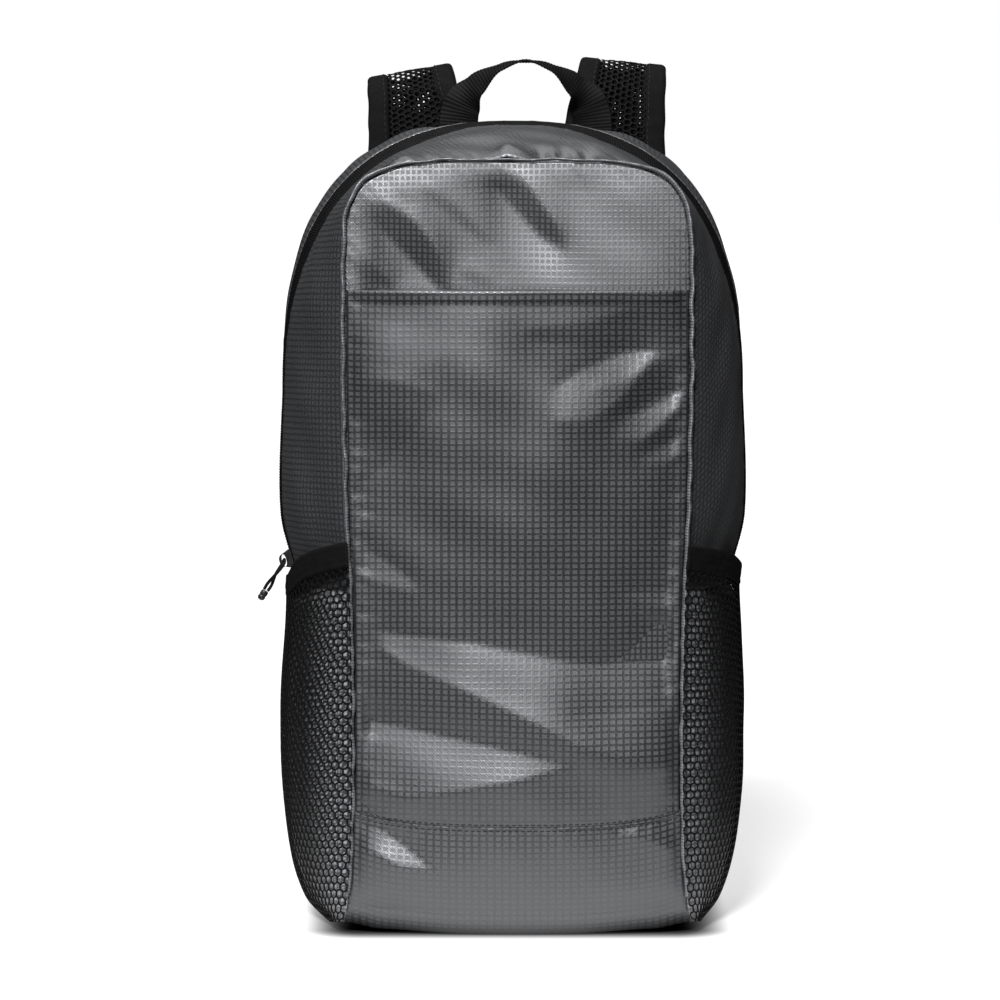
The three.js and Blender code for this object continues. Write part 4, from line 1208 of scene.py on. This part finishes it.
# %% Side pockets
POCKET_MOUTHS = dict(
    w=(0, 0.25, 0.5, 1),
    left=(213, 204, 191, 187),
    right=(211, 206, 198, 192),
)
NET_OFF_SEAM, NET_OFF_ROLL = 1.6, 3.6
NET_FOOT_Z = 3
NET_WRAP = 0.02
NET_FIRST, NET_LAST = -NET_WRAP, 0.985
WRAP_ASIDE, WRAP_FORWARD, WRAP_BULGE = 1, 4.2, 3
NET_WIDTH, NET_HEIGHT = 162, 196
NET_PITCH, NET_ROW, NET_STRAND = 6.2, 4.0, 0.5
NET_HOLE, NET_COVER = 0.77, 0.5
BINDING_WIDTH = 14
BINDING_SHARE = BINDING_WIDTH / POCKET_MOUTHS["left"][0]


def net_point(side, w, climb):
    """A point of a net or its binding. Below w = 0 it wraps over the rolled seam to the front."""
    mouth = read(POCKET_MOUTHS, "w", "left" if side < 0 else "right", np.clip(w, 0, 1))
    z = lerp(NET_FOOT_Z + corner_lift(w), mouth, climb)
    belly = belly_at(w, climb, 0.86)
    off = lerp(NET_OFF_SEAM, NET_OFF_ROLL, smooth(1 - w, 0.8, 1))
    wrap = np.clip(-w / NET_WRAP, 0, 1)[..., None]
    w = np.maximum(w, 0)
    on_flank = flank_point(side, w, z) + flank_normal(side, w, z) * (off + belly)[..., None]
    on_front = points_of(side * (flank_at("front", z) + WRAP_ASIDE), depth_at("front", z) - WRAP_FORWARD, z)
    return lerp(on_flank, on_front, wrap) - wrap * (1 - wrap) * np.array([0, WRAP_BULGE, 0])


def pocket_share(side, across):
    share = across / NET_WIDTH
    return lerp(NET_FIRST, NET_LAST, 1 - share if side < 0 else share)


def net_surface(side):
    """One side's net, as a surface by millimetres across it and up it."""

    def surface(across, up):
        w = pocket_share(side, across)
        slack = 0.4 * ripple(across, up, 50, 80 + side) * np.sin(np.pi * np.clip(w, 0, 1))
        climb = up / NET_HEIGHT * (1 - BINDING_SHARE)
        return net_point(side, w, climb) + flank_normal(side, w, up) * slack[..., None]

    return surface


for name, side in SIDES.items():
    flat, lift, faces = open_net(NET_WIDTH, NET_HEIGHT, NET_PITCH, NET_ROW, NET_HOLE, NET_STRAND)
    net = add_mesh(f"side_pocket_{name}_net", lay_on(net_surface(side), flat, lift), faces, flat, net_black)
    sew(net, "netting", f"side_pocket_{name}")
    print(net.name, len(faces), "faces")

# %% [markdown]
# An elastic tape is folded over the mouth of each net and stitched once along it. It draws the net in,
# so the tape itself ripples a little.

# %% Pocket bindings
BINDING_THICKNESS, BINDING_RISE = 2.0, 0.3
BINDING_STITCH = 0.28
binding_grids = {}
for name, side in SIDES.items():
    across, share = np.meshgrid(np.linspace(0, NET_WIDTH, 150), np.linspace(0, 1, 11))
    grid = net_point(side, pocket_share(side, across), lerp(1 - BINDING_SHARE, 1, share))
    rounded = 0.5 * np.sqrt(np.clip(1 - (2 * share - 1) ** 6, 0, 1))
    gathers = 0.25 * ripple(across, share * BINDING_WIDTH, 9, 90 + side) + rounded
    gathers = gathers - 0.25 * bell(share - BINDING_STITCH, 0.08)
    grid = grid + grid_normals(grid) * gathers[..., None]
    weave = np.stack([share * BINDING_WIDTH, across], axis=-1)
    tape = f"pocket_binding_{name}_tape"
    binding = add_wall(tape, grid, BINDING_THICKNESS, tape_black, weave, BINDING_RISE)
    cut_from(sew(binding, "webbing", f"pocket_binding_{name}"), grid)
    binding_grids[name] = grid

# %% [markdown]
# Each shoulder strap is a band of open spacer mesh, two layers a few millimetres apart, with a padded
# and bound edge on both sides. A solid strap would hide the light that shows through the mesh, so
# the layers are cut from the same open net, with smaller holes, and the edges are swept.

# %% Shoulder straps
STRAP_THICKNESS = 6
EDGE_WIDTH, EDGE_CORNER, EDGE_OVERLAP = 12.5, 3.0, 3
STRAP_SIDES = {"left": dict(side=-1, lift=0, slope=10), "right": dict(side=1, lift=5, slope=6)}
STRAP_ROUTE = dict(
    x=(54, 54, 56, 59, 60.5, 60.5, 60.5, 61, 68, 74, 76, 76.3, 76.5),
    y=(67.4, 67.4, 69, 74, 85, 96, 104, 114, 123, 124, 115, 110.1, 105.5),
    z=(396, 420, 440, 458, 467, 461, 444, 402, 335, 262, 205, 190, 176),
    width=(60, 60, 56, 51, 49, 48, 48, 50, 54, 52, 45, 40, 34),
    crest=(0, 0, 0.2, 0.6, 1, 0.8, 0.4, 0, 0, 0, 0, 0, 0),
)
MESH_WIDTH = 26
MESH_PITCH, MESH_ROW, MESH_HOLE, MESH_STRAND = 3.3, 2.86, 0.52, 0.4
# How far each layer of mesh lies off the strap's middle, and how far its cells are shifted
MESH_LAYERS = ((2.1, (0, 0)), (-2.1, (MESH_PITCH * 0.4, MESH_ROW * 0.3)))


def strap_frame(side, lift, slope, spacing):
    x, y, z, crest = (np.array(STRAP_ROUTE[key], float) for key in ("x", "y", "z", "crest"))
    rows = points_of(side * x, y, z + lift * crest)
    centre, across, normal, share = ribbon_frame(rows, (1, 0, 0), spacing, side * slope * crest)
    return centre, across, normal, eased(STRAP_ROUTE["width"], share)


def rounded_box(width, thickness, corner, count=7):
    """A closed profile: a flat band with rounded edges."""
    turn = np.linspace(-np.pi / 2, np.pi / 2, count)
    right = np.stack([width / 2 - corner + corner * np.cos(turn), thickness / 2 * np.sin(turn)], axis=-1)
    return np.concatenate([right, -right])


def thickened(profile, share):
    """A profile for each station, its thickness scaled by the station's share."""
    return profile * np.stack([np.ones_like(share), share], axis=-1)[:, None]


def strap_layer(along, lines, band, lift):
    """A layer of mesh on a strap, as a surface by lengths along it and across it."""

    def surface(along_mm, across_mm):
        at = np.clip(along_mm, 0, along[-1])
        place, way, out = (at_length(at, along, line) for line in lines)
        share = across_mm / MESH_WIDTH - 0.5
        crown = lift * (1 + 0.25 * np.cos(np.pi * share))
        return place + way * (share * np.interp(at, along, band))[:, None] + out * crown[:, None]

    return surface


def join_meshes(parts):
    """One mesh from several of points, faces and places on the flat cloth."""
    start = np.cumsum([0] + [len(points) for points, _, _ in parts])
    faces = [np.asarray(face) + first for (_, part, _), first in zip(parts, start) for face in part]
    points = np.concatenate([points for points, _, _ in parts])
    return points, faces, np.concatenate([weave for _, _, weave in parts])


strap_edges = {}
for name, facts in STRAP_SIDES.items():
    centre, across, normal, width = strap_frame(**facts, spacing=1.5)
    along = arc_lengths(centre, 0)
    band = width - 2 * EDGE_WIDTH + EDGE_OVERLAP
    flat, lift, faces = open_net(along[-1], MESH_WIDTH, MESH_PITCH, MESH_ROW, MESH_HOLE, MESH_STRAND)
    layers = [
        (lay_on(strap_layer(along, (centre, across, normal), band, height), flat + shift, lift), faces, flat)
        for height, shift in MESH_LAYERS
    ]
    mesh = add_mesh(f"strap_{name}_mesh", *join_meshes(layers), spacer_black)
    sew(mesh, "spacer_mesh", f"shoulder_strap_{name}")
    strap_edges[name] = []
    for way in (-1, 1):
        edge_centre = centre + across * (way * (width - EDGE_WIDTH) / 2)[:, None]
        swell = 1 + 0.05 * np.sin(along * 2 * np.pi / 14) + 0.04 * np.sin(along * 2 * np.pi / 9 + way)
        profile = thickened(rounded_box(EDGE_WIDTH, STRAP_THICKNESS, EDGE_CORNER), swell)
        place = "inner" if way * facts["side"] < 0 else "outer"
        edge = add_sweep(f"strap_{name}_edge_{place}", edge_centre, across, normal, profile, tape_black)
        sew(edge, "webbing")
        strap_edges[name].append((edge_centre, across * way, normal))
    print("strap", name, round(float(along[-1])), "mm")

# %% [markdown]
# The grab handle, the strap ends and the lower straps are ribbed webbing. A flat band with a ribbed
# finish would have a knife edge, so the ribs are swept into the band itself, and its two edges are
# rounded.

# %% Webbing
WEBBING_WIDTH = 22
WEBBING_THICKNESS = 1.6
WEBBING_STEP = 0.45
RIB_PITCH, RIB_RISE = 1.8, 0.14
HANDLE_SHIFT = 5
HANDLE_HALF = dict(
    x=(-38, -38, -36, -28, -14, 0),
    y=(63.2, 63.2, 62, 60, 58.5, 58),
    z=(422, 437, 449, 460.5, 470.5, 474),
    twist=(90, 90, 78, 34, 9, 0),
)


def add_webbing(name, node, rows, across, twists=None):
    """Ribbed webbing along a route, with rounded edges, in place of its solid node."""
    centre, side, normal, _ = ribbon_frame(rows, across, WEBBING_STEP, twists)
    along = arc_lengths(centre, 0)
    right, left = np.split(rounded_box(WEBBING_WIDTH, WEBBING_THICKNESS, WEBBING_THICKNESS / 2, 5), 2)
    reach = WEBBING_WIDTH / 2 - WEBBING_THICKNESS
    face = np.stack([np.linspace(reach, -reach, 9), np.full(9, WEBBING_THICKNESS / 2)], axis=-1)
    rib = 1 + RIB_RISE * np.cos(2 * np.pi * along / RIB_PITCH)
    profile = thickened(np.concatenate([right, face, left, -face]), rib)
    sew(add_sweep(name, centre, side, normal, profile, webbing_black), "webbing", node)
    print(name, round(float(along[-1])), "mm long")


def route_rows(table, side=1):
    """Points of a route from a table's columns x, y and z, mirrored if side is -1."""
    return points_of(*(np.array(table[axis], float) for axis in "xyz")) * (side, 1, 1)


handle_half = route_rows(HANDLE_HALF)
handle_rows = np.concatenate([handle_half, handle_half[-2::-1] * (-1, 1, 1)]) + (HANDLE_SHIFT, 0, 0)
handle_twists = [*HANDLE_HALF["twist"], *(HANDLE_HALF["twist"][-2::-1])]
add_webbing("grab_handle_webbing", "grab_handle", handle_rows, (0, 1, 0), handle_twists)

# %% Strap ends and lower straps
LOCK = dict(x=76.5, y=99.3, z=157, lean=math.radians(18))
TAB_RADIUS, TAB_Z, TAB_TOP_Z = 4.2, 8.8, 31
TURN_RADIUS, TURN_Z, TURN_LEAD = 3.4, -8.8, 12
LOWER_FOOT = dict(x=(93, 91, 87, 81), y=(65.1, 65.4, 70, 81), z=(52, 62, 82, 112))
LOWER_TAIL = dict(x=(76.5, 76.5), y=(96, 92), z=(120, 86))


def lock_to_pack(side, y, z):
    """Points beside a ladder lock, given by its own leaning depth and height."""
    lean_cos, lean_sin = math.cos(LOCK["lean"]), math.sin(LOCK["lean"])
    y, z = np.asarray(y, float), np.asarray(z, float)
    back, up = y * lean_cos + z * lean_sin, z * lean_cos - y * lean_sin
    return points_of(side * LOCK["x"], LOCK["y"] + back, LOCK["z"] + up)


def turn_round(side, radius, z, sense):
    """Points of a half turn round a bar of a ladder lock, over it or under it."""
    turn = np.linspace(0, np.pi, 7)
    return lock_to_pack(side, -radius * np.cos(turn), z + sense * radius * np.sin(turn))


tab_middle = (TAB_TOP_Z + TAB_Z) / 2
for name, side in SIDES.items():
    tab_rows = np.concatenate([
        lock_to_pack(side, [-TAB_RADIUS] * 2, [TAB_TOP_Z, tab_middle]),
        turn_round(side, TAB_RADIUS, TAB_Z, -1),
        lock_to_pack(side, [TAB_RADIUS] * 2, [tab_middle, TAB_TOP_Z]),
    ])
    add_webbing(f"strap_tab_{name}_webbing", f"strap_tab_{name}", tab_rows, (1, 0, 0))
    lower_rows = np.concatenate([
        route_rows(LOWER_FOOT, side),
        lock_to_pack(side, [-TURN_RADIUS], [TURN_Z - TURN_LEAD]),
        turn_round(side, TURN_RADIUS, TURN_Z, 1),
        lock_to_pack(side, [TURN_RADIUS], [TURN_Z - TURN_LEAD]),
        route_rows(LOWER_TAIL, side),
    ])
    add_webbing(f"strap_webbing_{name}_band", f"strap_webbing_{name}", lower_rows, (1, 0, 0))

# %% [markdown]
# The moulded pieces already have their shape in the solid model. A moulded edge is never sharp, so
# each gets a copy with its edges rounded by a Bevel modifier, which is then applied.

# %% Moulded pieces
WELD_DISTANCE = 0.01
FLAT_ANGLE, EDGE_ANGLE = math.radians(2), math.radians(35)


def add_rounded(node, name, radius, material, slot):
    """A copy of a solid node with its edges rounded, in place of the node."""
    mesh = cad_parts[node].data.copy()
    mesh.materials.clear()
    piece = bpy.data.objects.new(name, mesh)
    scene.collection.objects.link(piece)
    weld = piece.modifiers.new("weld", "WELD")
    weld.merge_threshold = WELD_DISTANCE * MM
    flat = piece.modifiers.new("flat", "DECIMATE")
    flat.decimate_type = "DISSOLVE"
    flat.angle_limit = FLAT_ANGLE
    bevel = piece.modifiers.new("edges", "BEVEL")
    bevel.width = radius * MM
    bevel.segments = 3
    bevel.limit_method = "ANGLE"
    bevel.angle_limit = EDGE_ANGLE
    bevel.harden_normals = True
    bpy.context.view_layer.update()
    shaped = bpy.data.meshes.new_from_object(piece.evaluated_get(bpy.context.evaluated_depsgraph_get()))
    piece.modifiers.clear()
    piece.data = shaped
    shaped.materials.append(material)
    corner = np.zeros(len(shaped.loops), np.int32)
    shaped.loops.foreach_get("vertex_index", corner)
    place = np.zeros(len(shaped.vertices) * 3, np.float32)
    shaped.vertices.foreach_get("co", place)
    weave = place.reshape(-1, 3)[corner][:, [0, 2]] / MM
    while shaped.uv_layers:
        shaped.uv_layers.remove(shaped.uv_layers[0])
    shaped.uv_layers.new(name=WEAVE_MAP).uv.foreach_set("vector", weave.astype(np.float32).ravel())
    sew(piece, slot, node)


for name in SIDES:
    add_rounded(f"ladder_lock_{name}", f"ladder_lock_{name}_moulded", 0.7, plastic_black, "plastic")
    add_rounded(f"strap_anchor_{name}", f"strap_anchor_{name}_patch", 0.5, tape_black, "webbing")
add_rounded("zip_slider", "zip_slider_cast", 0.35, slider_black, "slider_metal")
print("moulded pieces rounded")

# %% [markdown]
# Stitches hold all of this together, and the photograph shows them as short dark dashes along the
# pocket's hem and the base seam. Each is a small capsule that follows the cloth under it, and one
# function sets a whole row.

# %% Stitches
STITCH_RING = 6
STITCH_STATIONS = dict(along=(-0.5, -0.4, 0.0, 0.4, 0.5), radius=(0.25, 0.8, 1.0, 0.8, 0.25))
STITCH_SINK = 0.2
SEAM_STITCH = dict(pitch=3.4, length=2.5)
BINDING_ROW = dict(pitch=3.2, length=2.3, radius=0.26)
STRAP_ROW = dict(pitch=3.6, length=2.6, radius=0.28)
STRAP_ROW_INSET, STRAP_ROW_DEPTH = 3.6, 0.05
LOW_ROW_OFF_SEAM, BASE_ROW_SHARE = 1.0, 0.04


def stitch_row(line, normal, pitch, length, radius):
    """Points and faces of a row of stitches along a line on the cloth."""
    along = arc_lengths(line, 0)
    starts = np.arange(pitch / 2, along[-1] - length, pitch)
    ring_across, ring_out = circle(turns(STITCH_RING)).T[:, None, :, None]
    stations = len(STITCH_STATIONS["along"])
    index = np.arange(stations * STITCH_RING).reshape(stations, STITCH_RING)
    onward = np.roll(index, -1, axis=1)
    ring_faces = quads(index[:-1], onward[:-1], onward[1:], index[1:])
    points, faces = [], []
    for number, start in enumerate(starts):
        at = start + length * (np.array(STITCH_STATIONS["along"]) + 0.5)
        centre, out = at_length(at, along, line), unit(at_length(at, along, normal))
        side = unit(np.cross(np.gradient(centre, axis=0), out))
        size = radius * np.array(STITCH_STATIONS["radius"])[:, None, None]
        sink = (out * radius * STITCH_SINK)[:, None]
        ring = size * (ring_across * side[:, None] + ring_out * out[:, None])
        points.append((centre[:, None] + sink + ring).reshape(-1, 3))
        faces.append(ring_faces + number * stations * STITCH_RING)
    points, faces = np.concatenate(points), np.concatenate(faces)
    return points, faces, points[:, [0, 2]]


def grid_line(grid, row_share):
    """A line across a grid at one share of its rows, with its normals."""
    row = row_share * (len(grid) - 1)
    low = min(int(row), len(grid) - 2)
    normal = grid_normals(grid)
    return lerp(grid[low], grid[low + 1], row - low), lerp(normal[low], normal[low + 1], row - low)


def add_stitches(name, rows, slot):
    """Rows of stitches as one piece. The slot is not used."""
    points, faces, weave = join_meshes(rows)
    sew(add_mesh(name, points, faces, weave, thread_grey), slot)
    print(name, len(points) // (STITCH_RING * len(STITCH_STATIONS["along"])), "stitches")


pocket_height = POCKET_MOUTH_Z - BASE_SEAM_Z
hem_line = grid_line(pocket, 1 - HEM_DEPTH / pocket_height)
low_line = grid_line(pocket, LOW_ROW_OFF_SEAM / pocket_height)
base_line = grid_line(base, BASE_ROW_SHARE)
hem_row = stitch_row(*hem_line, **SEAM_STITCH, radius=0.28)
low_row = stitch_row(*low_line, **SEAM_STITCH, radius=0.3)
base_row = stitch_row(*base_line, **SEAM_STITCH, radius=0.26)
add_stitches("hem_stitches", [hem_row], "ripstop")
add_stitches("base_seam_stitches", [low_row, base_row], "ripstop")
for name in SIDES:
    binding_line = grid_line(binding_grids[name], BINDING_STITCH)
    add_stitches(f"binding_stitches_{name}", [stitch_row(*binding_line, **BINDING_ROW)], "webbing")
    edge_rows = []
    for centre, way, out in strap_edges[name]:
        for face in (-1, 1):
            off = face * (STRAP_THICKNESS / 2 - STRAP_ROW_DEPTH)
            line = centre - way * STRAP_ROW_INSET + out * off
            edge_rows.append(stitch_row(line, out * face, **STRAP_ROW))
    add_stitches(f"strap_stitches_{name}", edge_rows, "webbing")

# %% [markdown]
# The studio is plain: a pale floor, a key light above and in front, a wide soft light overhead and a
# pale room. The room is white to the camera and much dimmer as a light, because a room as bright as
# the background would wash out the gloss of the cloth. The floor glows to the camera as white paper
# does and throws some light back up at the pack; both glows are painted light from a floor that is no
# lamp. Both glows fade close round the pack's foot, and there the floor's colour turns dark to the
# camera, a painted contact shadow that leaves a narrow dark line where it stands.

# %% Floor and lights
LIGHTS = {
    "key": dict(source=Vector((-0.15, -0.76, 0.64)), strength=5.15, angle=math.radians(12)),
    "overhead": dict(source=Vector((-0.1, 0.1, 1)), strength=1.7, angle=math.radians(60)),
}
ROOM_STRENGTH = 0.02
FLOOR_HALF = 60.0
FLOOR_DROP = 0.0004
# The second level is the dark grey of the painted contact shadow at the pack's foot.
FLOOR_LEVEL, CONTACT_SHADOW_LEVEL = 0.4, 0.02
FLOOR_GLOW = 0.58
FLOOR_BOUNCE = 1.5
BOUNCE_NEAR, BOUNCE_FAR = 0.13, 0.42
FOOT = dict(half_x=0.085, half_y=0.052, mid_y=0.006)
CONTACT_REACH = 0.034

floor_mesh = bpy.data.meshes.new("floor")
corners = [(x * FLOOR_HALF, y * FLOOR_HALF, 0) for x, y in ((-1, -1), (1, -1), (1, 1), (-1, 1))]
floor_mesh.from_pydata(corners, [], [(0, 1, 2, 3)])
floor = bpy.data.objects.new("floor", floor_mesh)
floor.location.z = -FLOOR_DROP
scene.collection.objects.link(floor)
floor_finish = Finish("floor_paper", Roughness=0.9, Specular_IOR_Level=0.0)
seen = floor_finish.node("ShaderNodeLightPath")["Is Camera Ray"]
place = floor_finish.node("ShaderNodeTexCoord")["Object"]
reach = floor_finish.node("ShaderNodeVectorMath", {"operation": "LENGTH"}, {0: place})["Value"]
apart = floor_finish.node("ShaderNodeSeparateXYZ", None, {"Vector": place})
off_x = abs(apart["X"]).above(FOOT["half_x"])
off_y = abs(apart["Y"] - FOOT["mid_y"]).above(FOOT["half_y"])
# clear is 0 at the pack's foot and 1 a little way off: the mask of the painted contact shadow.
clear = (off_x * off_x + off_y * off_y).step(0, CONTACT_REACH**2)
bounce = (1 - reach.step(BOUNCE_NEAR, BOUNCE_FAR)) * clear * FLOOR_BOUNCE
# Painted contact shadow: to the camera the floor's colour turns dark close round the foot.
floor_finish.paint(Base_Color=floor_finish.blend(seen * clear, grey(CONTACT_SHADOW_LEVEL), grey(FLOOR_LEVEL)))
# Painted light: the floor glows to the camera and lights the pack, and both glows fade at the foot as painted
# shadow.
strength = seen * clear * FLOOR_GLOW + (1 - seen) * bounce
glow = floor_finish.node("ShaderNodeEmission", None, {"Strength": strength})["Emission"]
shader = Term(floor_finish, floor_finish.shader.outputs["BSDF"])
both = floor_finish.node("ShaderNodeAddShader", None, {0: shader, 1: glow})["Shader"]
floor_finish.set(floor_finish.tree.nodes["Material Output"], {"Surface": both})
floor_mesh.materials.append(floor_finish.material)

for name, facts in LIGHTS.items():
    light_data = bpy.data.lights.new(name, "SUN")
    light_data.energy = facts["strength"]
    light_data.angle = facts["angle"]
    light = bpy.data.objects.new(name, light_data)
    light.rotation_mode = "QUATERNION"
    light.rotation_quaternion = facts["source"].to_track_quat("Z", "Y")
    scene.collection.objects.link(light)

world = bpy.data.worlds.new("room")
world.use_nodes = True
scene.world = world
background = world.node_tree.nodes["Background"]
light_path = world.node_tree.nodes.new("ShaderNodeLightPath")
room_mix = world.node_tree.nodes.new("ShaderNodeMix")
room_mix.inputs["A"].default_value = ROOM_STRENGTH
room_mix.inputs["B"].default_value = 1.0
world.node_tree.links.new(light_path.outputs["Is Camera Ray"], room_mix.inputs["Factor"])
world.node_tree.links.new(room_mix.outputs["Result"], background.inputs["Strength"])
background.inputs["Color"].default_value = (1, 1, 1, 1)
scene.view_settings.view_transform = "Standard"
print("lights:", ", ".join(LIGHTS))
